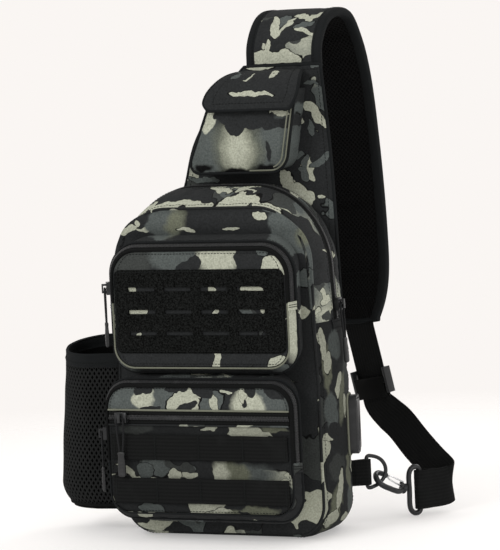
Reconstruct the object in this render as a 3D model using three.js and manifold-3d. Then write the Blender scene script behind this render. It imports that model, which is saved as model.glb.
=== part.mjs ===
// Sling bag: a soft rucksack-shaped body on a teardrop back yoke, one shoulder strap over the
// yoke's top, two zipped front pockets, a flap pouch on the yoke, a mesh bottle pocket on one side,
// a charging port on the other, and a swivel hook that clips the strap to a side D-ring.
// Millimetres, +Z up. The front faces -Y. The origin is the middle of the flat base.
import * as THREE from 'three';
import { mergeVertices } from 'three/addons/utils/BufferGeometryUtils.js';
import Module from 'manifold-3d';

const wasm = await Module();
wasm.setup();

// ---------------------------------------------------------------- driving dimensions
const CLOTH = 2.3; // padded cloth sheet
const GAP = 0.3; // clearance between pieces that are sewn or rest together
const CORNER_STEPS = 5; // facets in each rounded corner

const BODY = {
  half: 103, // half width at the front and back seams
  bulge: 8, // extra half width in the middle of the side
  front: -38.5,
  back: 36,
  frontTop: 315,
  crownTop: 334,
  crownY: 4,
  backTop: 332,
  frontRadius: 52,
  crownRadius: 78,
  lowRadius: 30,
  taperFrom: 150, // above this height the sides close in, by `taper` of the width in each mm
  taper: 0.00045,
  flatHalfDepth: 28, // the base is flat this far either side of the middle
  footRise: 3,
};
const ZIP = { centreY: 4, tapeHalf: 7.7, chainHalf: 2.5, chainLow: 0.3, chainHigh: 2.3, endZ: 205 };

// Pocket outlines at the front panel (root), at the widest ring (shoulder) and round the face.
const SHOULDER = 0.65;
const UPPER_POCKET = {
  root: { y: -38.8, left: -90, right: 90, base: 164, top: 291, rLow: 24, rTop: 30 },
  shoulder: { y: -60, left: -97, right: 94.5, base: 161.5, top: 286, rLow: 24, rTop: 31 },
  face: { y: -70, left: -91, right: 88.5, base: 167, top: 279, rLow: 20, rTop: 26 },
  zipEnd: 229,
};
const LOWER_POCKET = {
  root: { y: -38.8, left: -88, right: 82, base: 14, top: 160.5, rLow: 22, rTop: 24 },
  shoulder: { y: -69, left: -103, right: 96, base: 22, top: 157, rLow: 24, rTop: 25 },
  face: { y: -81, left: -98, right: 91, base: 29, top: 151, rLow: 20, rTop: 21 },
  zipEnd: 79,
};
const FRONT_ZIP = { z: 121, tapeHalf: 6.5 };
const MOLLE = { height: 24, thick: 1.6, rows: [92.8, 51.4], left: -94, right: 87, tacks: 5 };
const PATCH = { left: -88.5, right: 86, base: 181, top: 260.5, thick: 1.6 };
const PATCH_SLOT = { width: 28, height: 3.9, pitch: 37.4, rows: [242, 220.5, 200], firstX: -60 };

const YOKE = { front: 36.3, back: 39, top: 446, half: 101, radius: 32 };
const BACK_PAD = { front: 39.3, back: 46, top: 441, inset: 7 };
const POUCH = {
  front: 8, panel: 2.3, wall: 2, base: 346, top: 425, middle: 9.6, half: 51.5, radius: 15,
  lean: 0.29, narrowing: 0.0023, // across and inwards, for each mm of height
};
const FLAP = { thick: 3 };
const FLAP_TAPE = { width: 46, height: 15, x: 31, z: 414, thick: 1.4 };
const STRAP = { half: 39, edge: 9.7, thick: 10, narrowFrom: 0.8, narrowing: 15, skew: 0.24 };
const WEBBING = { half: 19, thick: 1.8 };
const BOTTLE = {
  rootY: 34.5, bendX: -138, halfDepth: 37.5, floor: 22, low: 26.4, frontRim: 176,
  backRim: 187, rim: 12, wall: 2,
};
const GLIDE = { half: 23.4, slot: 20.4, rail: 13, window: 8.5, wire: 2.2, bridge: 2.4 };
const USB = { y: 22, z: 101, width: 24, height: 56, depth: 9.5, wall: 1.7, cover: 4, turn: 13.7 };
const D_RING = { x: 115, y: 48, z: 50, wire: 2, halfHeight: 15.5, depth: 21 };
const SIDE_TAB = { height: 25, thick: 2.4 };
const PULL = { cordRadius: 1, cordLength: 32, gripLength: 24, gripWidth: 8, gripThick: 4.4 };
const BAIL_OUT = 6.5; // height of the pull's pivot above the zip
const SLIDER = { main: 219, upper: 243, lower: 105, frontX: -82 }; // heights, and one along X
const HOOK = { wire: 3, spine: 9, length: 39, gateWire: 0.8, tilt: 50 };
const HOOK_BAR = { x: 152, y: 93, z: 26, wire: 2.6, halfHeight: 22.6, reach: 11.5 };

// ---------------------------------------------------------------- materials
const finish = (color, roughness, metalness = 0) =>
  new THREE.MeshStandardMaterial({ color, roughness, metalness });
const CAMO = finish(0x3c4140, 0.85);
const CAMO_PALE = finish(0x8d8b74, 0.85);
const BLACK_CLOTH = finish(0x1c1d1e, 0.9);
const NET = finish(0x151617, 0.95);
const TAPE = finish(0x17181a, 0.8);
const COIL = finish(0x0f1011, 0.45);
const HOOK_PILE = finish(0x161718, 0.98);
const TRIM = finish(0x77776a, 0.8);
const BELT = finish(0x1a1b1c, 0.8);
const PLASTIC = finish(0x202224, 0.4);
const BLACK_METAL = finish(0x18191a, 0.35, 0.9);
const STEEL = finish(0xb9bbbd, 0.3, 1);
const CORD = finish(0x1b1c1d, 0.85);

// ---------------------------------------------------------------- solids from points
const at = (x, y, z) => new THREE.Vector3(x, y, z);
const mix = (a, b, f) => a + (b - a) * f;

function closedMesh(points, faces) {
  let volume = 0;
  for (let i = 0; i < faces.length; i += 3) {
    const [a, b, c] = [points[faces[i]], points[faces[i + 1]], points[faces[i + 2]]];
    volume += a.dot(b.clone().cross(c));
  }
  const index = volume < 0 ? faces.slice().reverse() : faces;
  const geometry = new THREE.BufferGeometry();
  const flat = points.flatMap((p) => [p.x, p.y, p.z]);
  geometry.setAttribute('position', new THREE.Float32BufferAttribute(flat, 3));
  geometry.setIndex(index);
  return geometry;
}

// The closed solid between two equal grids of points, each a list of rows.
function between(outer, inner, ring = false) {
  const rows = outer.length;
  const columns = outer[0].length;
  const points = [...outer.flat(), ...inner.flat()];
  const id = (side, r, c) => (side * rows + r) * columns + (c % columns);
  const faces = [];
  const quad = (a, b, c, d) => faces.push(a, b, c, a, c, d);
  const spans = ring ? columns : columns - 1;
  const last = rows - 1;
  for (let c = 0; c < spans; c++) {
    for (let r = 0; r < last; r++) {
      quad(id(0, r, c), id(0, r, c + 1), id(0, r + 1, c + 1), id(0, r + 1, c));
      quad(id(1, r, c), id(1, r + 1, c), id(1, r + 1, c + 1), id(1, r, c + 1));
    }
    quad(id(0, 0, c + 1), id(0, 0, c), id(1, 0, c), id(1, 0, c + 1));
    quad(id(0, last, c), id(0, last, c + 1), id(1, last, c + 1), id(1, last, c));
  }
  for (let r = 0; r < last && !ring; r++) {
    quad(id(0, r, 0), id(0, r + 1, 0), id(1, r + 1, 0), id(1, r, 0));
    quad(id(0, r + 1, spans), id(0, r, spans), id(1, r, spans), id(1, r + 1, spans));
  }
  return closedMesh(points, faces);
}

// A sheet that follows surface(u, v), from `low` to `high` above it. `inside(p)` is a point on the
// surface's inner side, which says which way is up.
function sheet(surface, us, vs, low, high, inside, ring = false) {
  const step = 0.01;
  const vMin = Math.min(vs[0], vs[vs.length - 1]);
  const vMax = Math.max(vs[0], vs[vs.length - 1]);
  const lift = (u, v, height) => {
    const p = surface(u, v);
    const du = surface(u + step, v).sub(surface(u - step, v));
    const dv = surface(u, Math.min(v + step, vMax)).sub(surface(u, Math.max(v - step, vMin)));
    const normal = du.cross(dv).normalize();
    if (normal.dot(p.clone().sub(inside(p))) < 0) normal.negate();
    return p.addScaledVector(normal, height);
  };
  const grid = (height) => vs.map((v) => us.map((u) => lift(u, v, height)));
  return between(grid(high), grid(low), ring);
}

// A flat strip through stations {centre, across, from, to}, `low` to `high` on its outer side.
function strip(stations, low, high) {
  const edge = (s, i, height) => {
    const before = stations[Math.max(i - 1, 0)].centre;
    const after = stations[Math.min(i + 1, stations.length - 1)].centre;
    const along = after.clone().sub(before).normalize();
    const across = s.across.clone().addScaledVector(along, -s.across.dot(along)).normalize();
    const out = across.clone().cross(along);
    return [s.from, s.to].map((x) => {
      const p = s.centre.clone().addScaledVector(across, x);
      return p.addScaledVector(out, height);
    });
  };
  const grid = (height) => stations.map((s, i) => edge(s, i, height));
  return between(grid(high), grid(low));
}

// A round bar of `radius` along an open curve.
function rod(points, radius, steps, sides = 8) {
  const section = new THREE.Shape();
  for (let i = 0; i < sides; i++) {
    const turn = (2 * Math.PI * i) / sides;
    const corner = [radius * Math.cos(turn), radius * Math.sin(turn)];
    if (i === 0) section.moveTo(...corner);
    else section.lineTo(...corner);
  }
  const extrudePath = new THREE.CatmullRomCurve3(points, false, 'centripetal');
  return new THREE.ExtrudeGeometry(section, { steps, extrudePath, bevelEnabled: false });
}

const ringBar = (points, radius, steps, sides = 8) =>
  new THREE.TubeGeometry(new THREE.CatmullRomCurve3(points, true), steps, radius, sides, true);

// A panel cut to an outline in the XZ plane, between two depths.
function panel(shape, front, back, curveSegments = 6) {
  const options = { depth: back - front, bevelEnabled: false, curveSegments };
  const geometry = new THREE.ExtrudeGeometry(shape, options);
  return geometry.rotateX(Math.PI / 2).translate(0, back, 0);
}

const block = (x0, x1, y0, y1, z0, z1) => {
  const geometry = new THREE.BoxGeometry(x1 - x0, y1 - y0, z1 - z0);
  return geometry.translate((x0 + x1) / 2, (y0 + y1) / 2, (z0 + z1) / 2);
};

function roundedRectangle(width, height, radius, x = 0, y = 0) {
  const shape = new THREE.Shape();
  const [w, h] = [width / 2 - radius, height / 2 - radius];
  shape.absarc(x + w, y - h, radius, -Math.PI / 2, 0, false);
  shape.absarc(x + w, y + h, radius, 0, Math.PI / 2, false);
  shape.absarc(x - w, y + h, radius, Math.PI / 2, Math.PI, false);
  shape.absarc(x - w, y - h, radius, Math.PI, 1.5 * Math.PI, false);
  return shape;
}

// ---------------------------------------------------------------- cuts and joins
function toSolid(geometry) {
  const bare = geometry.clone();
  bare.deleteAttribute('normal');
  bare.deleteAttribute('uv');
  const merged = mergeVertices(bare, 1e-4);
  const vertProperties = new Float32Array(merged.attributes.position.array);
  const triVerts = new Uint32Array(merged.index.array);
  return new wasm.Manifold(new wasm.Mesh({ numProp: 3, vertProperties, triVerts }));
}

function toGeometry(solid) {
  const mesh = solid.getMesh();
  const geometry = new THREE.BufferGeometry();
  geometry.setAttribute('position', new THREE.BufferAttribute(mesh.vertProperties, 3));
  geometry.setIndex(new THREE.BufferAttribute(mesh.triVerts, 1));
  return geometry;
}

const joined = (parts) => parts.map(toSolid).reduce((all, next) => all.add(next));

// ---------------------------------------------------------------- rounded outlines
// A point on a rounded outline in the XZ plane. Station 0 is the middle of the base, 1 to 2 the
// lower right corner, 2 to 3 the right side, 3 to 4 the upper right corner, 4 to 5 the top, and so
// on round to station 9, which is station 0 again.
function outlinePoint(o, station) {
  const s = ((station % 9) + 9) % 9;
  const k = Math.floor(s);
  const f = s - k;
  const line = (x0, z0, x1, z1) => [mix(x0, x1, f), mix(z0, z1, f)];
  const arc = (x, z, r, quarter) => {
    const turn = ((quarter + f) * Math.PI) / 2;
    return [x + r * Math.cos(turn), z + r * Math.sin(turn)];
  };
  const middle = (o.left + o.right) / 2;
  if (k === 0) return line(middle, o.base, o.right - o.rLow, o.base);
  if (k === 1) return arc(o.right - o.rLow, o.base + o.rLow, o.rLow, -1);
  if (k === 2) return line(o.right, o.base + o.rLow, o.right, o.top - o.rTop);
  if (k === 3) return arc(o.right - o.rTop, o.top - o.rTop, o.rTop, 0);
  if (k === 4) return line(o.right - o.rTop, o.top, o.left + o.rTop, o.top);
  if (k === 5) return arc(o.left + o.rTop, o.top - o.rTop, o.rTop, 1);
  if (k === 6) return line(o.left, o.top - o.rTop, o.left, o.base + o.rLow);
  if (k === 7) return arc(o.left + o.rLow, o.base + o.rLow, o.rLow, 2);
  return line(o.left + o.rLow, o.base, middle, o.base);
}

// Stations from one to another: the ends of each straight stretch, and facets in each corner.
function stationsFrom(first, last, steps = CORNER_STEPS) {
  const list = [first];
  for (let k = Math.floor(first); k < last; k++) {
    const isCorner = (((k % 9) + 9) % 9) % 2 === 1 && ((k % 9) + 9) % 9 < 8;
    const pieces = isCorner ? steps : 1;
    for (let i = 1; i <= pieces; i++) {
      const s = k + i / pieces;
      if (s > first && s < last) list.push(s);
    }
  }
  return [...list, last];
}

const sideStation = (o, z) => 2 + (z - o.base - o.rLow) / (o.top - o.rTop - o.base - o.rLow);
const inset = (o, by) => ({
  ...o, left: o.left + by, right: o.right - by, base: o.base + by, top: o.top - by,
  rLow: Math.max(o.rLow - by, 1), rTop: Math.max(o.rTop - by, 1),
});

function outlineShape(o, steps = CORNER_STEPS, moved = (x) => x) {
  const points = stationsFrom(0, 9, steps).slice(0, -1).map((s) => outlinePoint(o, s));
  return new THREE.Shape(points.map(([x, z]) => new THREE.Vector2(moved(x, z), z)));
}

// ---------------------------------------------------------------- the bag's body
function bodyOutline(y) {
  const swell = 1 - (y / 38) ** 2;
  const rise = y < BODY.crownY
    ? 1 - ((BODY.crownY - y) / (BODY.crownY - BODY.front)) ** 2
    : 1;
  const drop = y > BODY.crownY ? ((y - BODY.crownY) / (BODY.back - BODY.crownY)) ** 2 : 0;
  const half = BODY.half + BODY.bulge * Math.max(swell, 0);
  const past = Math.max(Math.abs(y) - BODY.flatHalfDepth, 0) / 10;
  return {
    y, left: -half, right: half, base: BODY.footRise * past ** 2,
    top: mix(BODY.frontTop, BODY.crownTop, rise) - (BODY.crownTop - BODY.backTop) * drop,
    rLow: BODY.lowRadius, rTop: mix(BODY.frontRadius, BODY.crownRadius, rise),
  };
}
const bodyMiddle = (p) => at(0, p.y, 160);
const taperAt = (z) => 1 - BODY.taper * Math.max(z - BODY.taperFrom, 0);
function bodyPoint(station, y) {
  const [x, z] = outlinePoint(bodyOutline(y), station);
  return at(x * taperAt(z), y, z);
}

// The body's side wall. v is the depth; u runs 0 to 1 over a stretch of stations.
const bodyArch = (u, y) => {
  const end = sideStation(bodyOutline(y), ZIP.endZ + GAP);
  return bodyPoint(mix(end, 9 - end, u), y);
};
const bodyCradle = (u, y) => {
  const end = sideStation(bodyOutline(y), ZIP.endZ - GAP);
  return bodyPoint(mix(-end, end, u), y);
};
// Even parameters would skip the corners, so each wall lists the stations that its shape needs.
function wallParameters(first, last) {
  return stationsFrom(first, last).map((s) => (s - first) / (last - first));
}
const middleOutline = bodyOutline(0);
const archEnd = sideStation(middleOutline, ZIP.endZ);
const ARCH = wallParameters(archEnd, 9 - archEnd);
const CRADLE = wallParameters(-archEnd, archEnd);
const archSheet = (ys, low, high) => sheet(bodyArch, ARCH, ys, low, high, bodyMiddle);

const frontPanel = () => {
  const points = stationsFrom(0, 9).slice(0, -1).map((s) => bodyPoint(s, BODY.front));
  const shape = new THREE.Shape(points.map(({ x, z }) => new THREE.Vector2(x, z)));
  return panel(shape, BODY.front, BODY.front + 2.5);
};
// Piping round the front panel's edge.
function frontPiping() {
  const ring = (by, y) => stationsFrom(0, 9).slice(0, -1).map((s) => {
    const [x, z] = outlinePoint(inset(bodyOutline(BODY.front), by), s);
    return at(x * taperAt(z), y, z);
  });
  const grid = (by) => [ring(by, BODY.front), ring(by, BODY.front + 2)];
  return between(grid(-2.8), grid(-0.4), true);
}

// ---------------------------------------------------------------- yoke and back pad
function yokeShape(by, top) {
  const shape = new THREE.Shape();
  const side = YOKE.half - by;
  const low = YOKE.radius - by;
  shape.moveTo(0, 2 + by);
  shape.lineTo(side - low, 2 + by);
  shape.absarc(side - low, 2 + by + low, low, -Math.PI / 2, 0, false);
  shape.lineTo(side, 190);
  shape.bezierCurveTo(99 - by, 260, 99 - by, 330, 95 - by, 383);
  shape.lineTo(90 - by, top);
  shape.lineTo(11 + by, top);
  shape.bezierCurveTo(-14 + by, 422, -32 + by, 398, -43 + by, 377);
  shape.bezierCurveTo(-56 + by, 352, -52 + by, 330, -70 + by, 311);
  shape.bezierCurveTo(-88 + by, 292, -95 + by, 270, -96 + by, 240);
  shape.lineTo(-side, BODY.taperFrom);
  shape.lineTo(-side, 2 + by + low);
  shape.absarc(-side + low, 2 + by + low, low, Math.PI, 1.5 * Math.PI, false);
  shape.closePath();
  return shape;
}

// ---------------------------------------------------------------- front pockets
// v runs from the root at 0 through the shoulder to the face at 1.
function pocketOutline(pocket, v) {
  const past = v > SHOULDER;
  const [a, b] = past ? [pocket.shoulder, pocket.face] : [pocket.root, pocket.shoulder];
  const f = past ? (v - SHOULDER) / (1 - SHOULDER) : v / SHOULDER;
  return Object.fromEntries(Object.keys(a).map((key) => [key, mix(a[key], b[key], f)]));
}
const pocketPoint = (pocket, station, v) => {
  const o = pocketOutline(pocket, v);
  const [x, z] = outlinePoint(o, station);
  return at(x, o.y, z);
};
const pocketMiddle = (pocket) => (p) => {
  const { left, right, base, top } = pocket.shoulder;
  return at((left + right) / 2, p.y, (base + top) / 2);
};

const BEVEL_LOW = 0.685; // the bevelled ring between shoulder and face holds the zip
const BEVEL_HIGH = 0.985;
const BEVEL_MIDDLE = (BEVEL_LOW + BEVEL_HIGH) / 2;

function pocketSheet(pocket, us, vs, low, high, ring = false) {
  const surface = (u, v) => pocketPoint(pocket, u, v);
  return sheet(surface, us, vs, low, high, pocketMiddle(pocket), ring);
}
function pocketGusset(pocket) {
  return pocketSheet(pocket, stationsFrom(0, 9).slice(0, -1), [0.04, 0.3, 0.6], -CLOTH, 0, true);
}
// Stations at which the zip ends on each side of a pocket, `beyond` mm past the end.
function zipStation(pocket, beyond) {
  return sideStation(pocketOutline(pocket, BEVEL_MIDDLE), pocket.zipEnd + beyond);
}
function pocketZipTape(pocket) {
  const end = zipStation(pocket, GAP);
  return pocketSheet(pocket, stationsFrom(end, 9 - end), [BEVEL_LOW, BEVEL_HIGH], -1.6, 0);
}
function pocketZipChain(pocket) {
  const end = zipStation(pocket, 2);
  const bevel = at(0, pocket.face.y - pocket.shoulder.y, pocket.face.left - pocket.shoulder.left);
  const half = (ZIP.chainHalf / bevel.length()) * (1 - SHOULDER);
  const vs = [BEVEL_MIDDLE - half, BEVEL_MIDDLE + half];
  return pocketSheet(pocket, stationsFrom(end, 9 - end), vs, ZIP.chainLow, ZIP.chainHigh);
}
function pocketLowerGusset(pocket) {
  const end = zipStation(pocket, -GAP);
  return pocketSheet(pocket, stationsFrom(-end, end), [BEVEL_LOW, BEVEL_HIGH], -1.6, 0);
}

// The part of a pocket's face between two heights.
function faceBand(pocket, low, high, front, back) {
  const o = inset(pocket.face, 2.9);
  const outline = stationsFrom(0, 9).slice(0, -1).map((s) => outlinePoint(o, s));
  const wide = new THREE.Shape(outline.map(([x, z]) => new THREE.Vector2(x, z)));
  const cut = block(-200, 200, front - 1, back + 1, low, high);
  return toGeometry(toSolid(panel(wide, front, back)).intersect(toSolid(cut)));
}

function patchPanel() {
  const shape = outlineShape({ ...PATCH, rLow: 4, rTop: 8 }, 3);
  for (const z of PATCH_SLOT.rows) {
    for (let i = 0; i < 4; i++) {
      const x = PATCH_SLOT.firstX + i * PATCH_SLOT.pitch;
      shape.holes.push(roundedRectangle(PATCH_SLOT.width, PATCH_SLOT.height, 1.5, x, z));
    }
  }
  const back = UPPER_POCKET.face.y - GAP;
  return panel(shape, back - PATCH.thick, back, 1);
}

// Webbing across the lower pocket, tacked down at even steps and standing proud between them.
function molleBand(z) {
  const spans = MOLLE.tacks - 1;
  const perSpan = 4;
  const back = LOWER_POCKET.face.y - GAP;
  const stations = [];
  for (let i = 0; i <= spans * perSpan; i++) {
    const f = i / (spans * perSpan);
    const arch = 1.6 * Math.sin((Math.PI * (i % perSpan)) / perSpan);
    const centre = at(mix(MOLLE.left, MOLLE.right, f), back - arch, z);
    stations.push({ centre, across: at(0, 0, 1), from: -MOLLE.height / 2, to: MOLLE.height / 2 });
  }
  return strip(stations, -MOLLE.thick, 0);
}

// ---------------------------------------------------------------- bottle pocket
const BOTTLE_SWELL = 46; // height of the widest ring
function bottleRim(y) {
  return mix(BOTTLE.frontRim, BOTTLE.backRim, (y + BOTTLE.halfDepth) / (2 * BOTTLE.halfDepth));
}
// u runs 0 to 1 from the front root round the outside to the rear root.
function bottlePoint(u, z) {
  const tuck = z < BOTTLE_SWELL ? ((BOTTLE_SWELL - z) / 24) ** 2 : 0;
  const reach = -187 + Math.max(z - BOTTLE_SWELL, 0) * 0.1 + 13 * tuck;
  const depth = BOTTLE.halfDepth - 9 * tuck;
  const straight = 0.2;
  if (u < straight || u > 1 - straight) {
    const f = Math.min(u, 1 - u) / straight;
    const y = mix(BOTTLE.rootY - 9 * tuck, depth, f);
    const root = bodyOutline(BOTTLE.rootY - 9 * tuck).left * taperAt(z) - 1;
    return [mix(root, BOTTLE.bendX, f), u < 0.5 ? -y : y];
  }
  const turn = (Math.PI * (u - straight)) / (1 - 2 * straight);
  return [BOTTLE.bendX + (reach - BOTTLE.bendX) * Math.sin(turn), -depth * Math.cos(turn)];
}
const BOTTLE_US = [0, 0.1, ...Array.from({ length: 13 }, (_, i) => 0.2 + (0.6 * i) / 12), 0.9, 1];
const bottleMiddle = (p) => at(-140, 0, p.z);
function bottleWall(v0, v1, rows, thick) {
  const surface = (u, v) => {
    const y = bottlePoint(u, 100)[1];
    const top = bottleRim(y);
    const z = v <= 1 ? mix(BOTTLE.low, top - BOTTLE.rim - GAP, v) : top - BOTTLE.rim * (2 - v);
    const [x, depth] = bottlePoint(u, z);
    return at(x, depth, z);
  };
  const vs = rows.map((f) => mix(v0, v1, f));
  return sheet(surface, BOTTLE_US, vs, -thick, 0, bottleMiddle);
}
function bottleBase() {
  const outside = BOTTLE_US.map((u) => bottlePoint(u, BOTTLE.floor + 2.5));
  const inside = [18, 9, 0, -9, -18].map((y) => [bodyOutline(y).left - 1, y]);
  const shape = new THREE.Shape([...outside, ...inside].map(([x, y]) => new THREE.Vector2(x, y)));
  const depth = BOTTLE.low - GAP - BOTTLE.floor;
  const geometry = new THREE.ExtrudeGeometry(shape, { depth, bevelEnabled: false });
  return geometry.translate(0, 0, BOTTLE.floor);
}

// ---------------------------------------------------------------- phone pouch and flap
const pouchX = (x, z) => {
  const rise = z - POUCH.base;
  return POUCH.middle + (x - POUCH.middle) * (1 - POUCH.narrowing * rise) + POUCH.lean * rise;
};
const pouchOutline = {
  left: POUCH.middle - POUCH.half, right: POUCH.middle + POUCH.half, base: POUCH.base,
  top: POUCH.top, rLow: POUCH.radius, rTop: 1,
};
function pouchGusset() {
  const surface = (u, y) => {
    const [x, z] = outlinePoint(pouchOutline, u);
    return at(pouchX(x, z), y, z);
  };
  const ys = [POUCH.front + POUCH.panel + GAP, 22, YOKE.front - GAP];
  const inside = (p) => at(pouchX(POUCH.middle, p.z), p.y, 390);
  return sheet(surface, stationsFrom(-3, 3), ys, -POUCH.wall, 0, inside);
}
const pouchFront = () =>
  panel(outlineShape(pouchOutline, 5, pouchX), POUCH.front, POUCH.front + POUCH.panel);

// The flap's profile from its hinge down over the pouch, with its left and right edges.
const FLAP_PROFILE = [
  { y: 34.4, z: 441, left: 12, right: 72 },
  { y: 24, z: 440.4, left: 7, right: 76 },
  { y: 12, z: 437, left: 0, right: 79 },
  { y: 4, z: 430.5, left: -7, right: 80.5 },
  { y: 0.5, z: 422, left: -14, right: 80 },
  { y: 0, z: 413, left: -17.5, right: 76 },
  { y: 0.6, z: 406, left: -13, right: 71 },
];
function pouchFlap() {
  const stations = FLAP_PROFILE.map(({ y, z, left, right }) => (
    { centre: at(0, y, z), across: at(1, 0, 0), from: left, to: right }));
  return strip(stations, -FLAP.thick / 2, FLAP.thick / 2);
}

// ---------------------------------------------------------------- shoulder strap
// Centre line from the yoke's top, over the shoulder and down behind the wearer.
const STRAP_LINE = [
  at(50.5, 43.4, 446.4), at(50.5, 46, 466), at(52.5, 62, 487.5), at(55, 85, 495),
  at(57.5, 112, 489.5), at(60, 130, 466), at(63, 140, 434), at(66.5, 147, 374), at(70, 150, 304),
  at(72.5, 149, 239), at(74, 148.6, 196), at(74.5, 148.9, 187),
];
const STRAP_STEPS = 40;
// The strap narrows to a rounded end over its last stretch.
function strapHalf(f) {
  const taper = Math.max((f - STRAP.narrowFrom) / (1 - STRAP.narrowFrom), 0);
  return STRAP.half - STRAP.narrowing * taper ** 3;
}
function strapStations(fromOf, toOf) {
  const curve = new THREE.CatmullRomCurve3(STRAP_LINE, false, 'centripetal');
  return Array.from({ length: STRAP_STEPS + 1 }, (_, i) => {
    const f = i / STRAP_STEPS;
    const centre = curve.getPointAt(f);
    const across = at(1, -STRAP.skew * Math.max(f - 0.5, 0), 0).normalize();
    const half = strapHalf(f);
    return { centre, across, from: fromOf(half), to: toOf(half) };
  });
}
const strapMiddle = (low, high) =>
  strip(strapStations((h) => -h + STRAP.edge + GAP, (h) => h - STRAP.edge - GAP), low, high);
const strapEdge = (side) => strip(
  side < 0 ? strapStations((h) => -h, (h) => -h + STRAP.edge)
    : strapStations((h) => h - STRAP.edge, (h) => h),
  -STRAP.thick / 2, STRAP.thick / 2,
);

// ---------------------------------------------------------------- webbing and its hardware
const WEB_ROOT = at(74.65, 148.97, 184.9); // sewn under the strap's narrow end
const WEB_TOP = at(75.2, 149.1, 181.5);
const GLIDE_AT = at(87, 150, 124);
const WEB_DOWN = GLIDE_AT.clone().sub(WEB_TOP).normalize();
const WEB_ACROSS = at(0.92, -0.38, 0.19).normalize();
// The hook side: from the webbing's turn the pull runs along `toRing` towards the D-ring.
const fromRing = at(HOOK_BAR.x - D_RING.x, HOOK_BAR.y - D_RING.y, 0).normalize();
const toRing = fromRing.clone().negate();

// The webbing's end goes round the hook frame's bar and is sewn back on itself.
function webbingLoop() {
  const bar = at(HOOK_BAR.x, HOOK_BAR.y, HOOK_BAR.z);
  const out = at(0.725, 0.689, 0);
  const side = at(-0.689, 0.725, 0);
  const place = (a, b) => bar.clone().addScaledVector(out, a).addScaledVector(side, b);
  const round = Array.from({ length: 7 }, (_, i) => {
    const turn = -Math.PI / 2 - (Math.PI * i) / 6;
    return place(4.2 * Math.cos(turn), 4.2 * Math.sin(turn));
  });
  return [place(20, -1.1), place(13, -2), place(6, -3.9), ...round, place(6, 3.9),
    place(13, 2), place(19, 1.2)];
}
function webbing() {
  const up = at(0, 0, 1);
  const route = [
    [WEB_ROOT, at(1, -STRAP.skew / 2, 0.09)],
    [WEB_TOP, WEB_ACROSS],
    [GLIDE_AT.clone().addScaledVector(WEB_DOWN, -30), WEB_ACROSS],
    [GLIDE_AT, WEB_ACROSS],
    [GLIDE_AT.clone().addScaledVector(WEB_DOWN, 16), WEB_ACROSS],
    [GLIDE_AT.clone().addScaledVector(WEB_DOWN, 22), WEB_ACROSS],
    [at(103.5, 147.5, 92), at(0.8, -0.22, 0.54)],
    [at(115.5, 144.5, 83), at(0.72, -0.15, 0.68)],
    [at(134.5, 138.5, 63), at(0.62, -0.1, 0.78)],
    [at(154.5, 131.5, 45), at(0.35, -0.05, 0.93)],
    [at(169, 127, 33), at(0.1, 0, 1)],
    [at(175.5, 121.5, 29), up],
    [at(174, 115, 27), up],
  ];
  const places = [...route.map(([p]) => p), ...webbingLoop()];
  const across = [...route.map(([, w]) => w), ...webbingLoop().map(() => up)];
  const curve = new THREE.CatmullRomCurve3(places, false, 'centripetal');
  const spans = places.length - 1;
  const perSpan = 3;
  const stations = Array.from({ length: spans * perSpan + 1 }, (_, i) => {
    const k = Math.min(Math.floor(i / perSpan), spans - 1);
    const f = i / perSpan - k;
    return {
      centre: curve.getPoint(i / (spans * perSpan)),
      across: across[k].clone().lerp(across[k + 1], f).normalize(),
      from: -WEBBING.half, to: WEBBING.half,
    };
  });
  return strip(stations, -WEBBING.thick / 2, WEBBING.thick / 2);
}

// The slide adjuster in its own axes: X across the webbing, Z up along it, -Y outwards.
function triGlide() {
  const { half, slot, rail, window, wire, bridge } = GLIDE;
  const back = 3.6;
  return toGeometry(joined([
    block(-half, -slot, -5.6, back, -rail, rail),
    block(slot, half, -5.6, back, -rail, rail),
    block(1 - slot - wire, slot + wire - 1, back - wire, back, window, rail),
    block(1 - slot - wire, slot + wire - 1, back - wire, back, -rail, -window),
    block(1 - slot - wire, slot + wire - 1, -5.3, wire - 5.3, -bridge, bridge),
  ]));
}
// A short webbing end folded over the adjuster's middle bar.
function tailLoop() {
  const profile = [[-2, -9], [-2, 1.5], [-2.3, 3], [-4.2, 4.1], [-6.1, 3], [-6.4, 1.5], [-6.2, -16]];
  const stations = profile.map(([y, z]) => (
    { centre: at(0, y, z), across: at(1, 0, 0), from: -WEBBING.half, to: WEBBING.half }));
  return strip(stations, -0.7, 0.7);
}
function glideGroup() {
  const group = new THREE.Group();
  const up = WEB_DOWN.clone().negate();
  const across = WEB_ACROSS.clone().addScaledVector(up, -WEB_ACROSS.dot(up)).normalize();
  const back = up.clone().cross(across);
  group.applyMatrix4(new THREE.Matrix4().makeBasis(across, back, up));
  group.position.copy(GLIDE_AT);
  return group;
}

function ringInPlane(points) {
  return points.map(([out, up]) => at(0, 0, up).addScaledVector(fromRing, out));
}
function dRing() {
  const bow = Array.from({ length: 9 }, (_, i) => {
    const turn = Math.PI * (0.12 + (0.76 * i) / 8);
    return [1.5 + (D_RING.depth - 1.5) * Math.sin(turn), D_RING.halfHeight * Math.cos(turn)];
  });
  const bar = [[1.5, -D_RING.halfHeight], [0, -13.5], [0, 0], [0, 13.5], [1.5, D_RING.halfHeight]];
  return ringBar(ringInPlane([...bow, ...bar]), D_RING.wire, 48);
}
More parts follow.
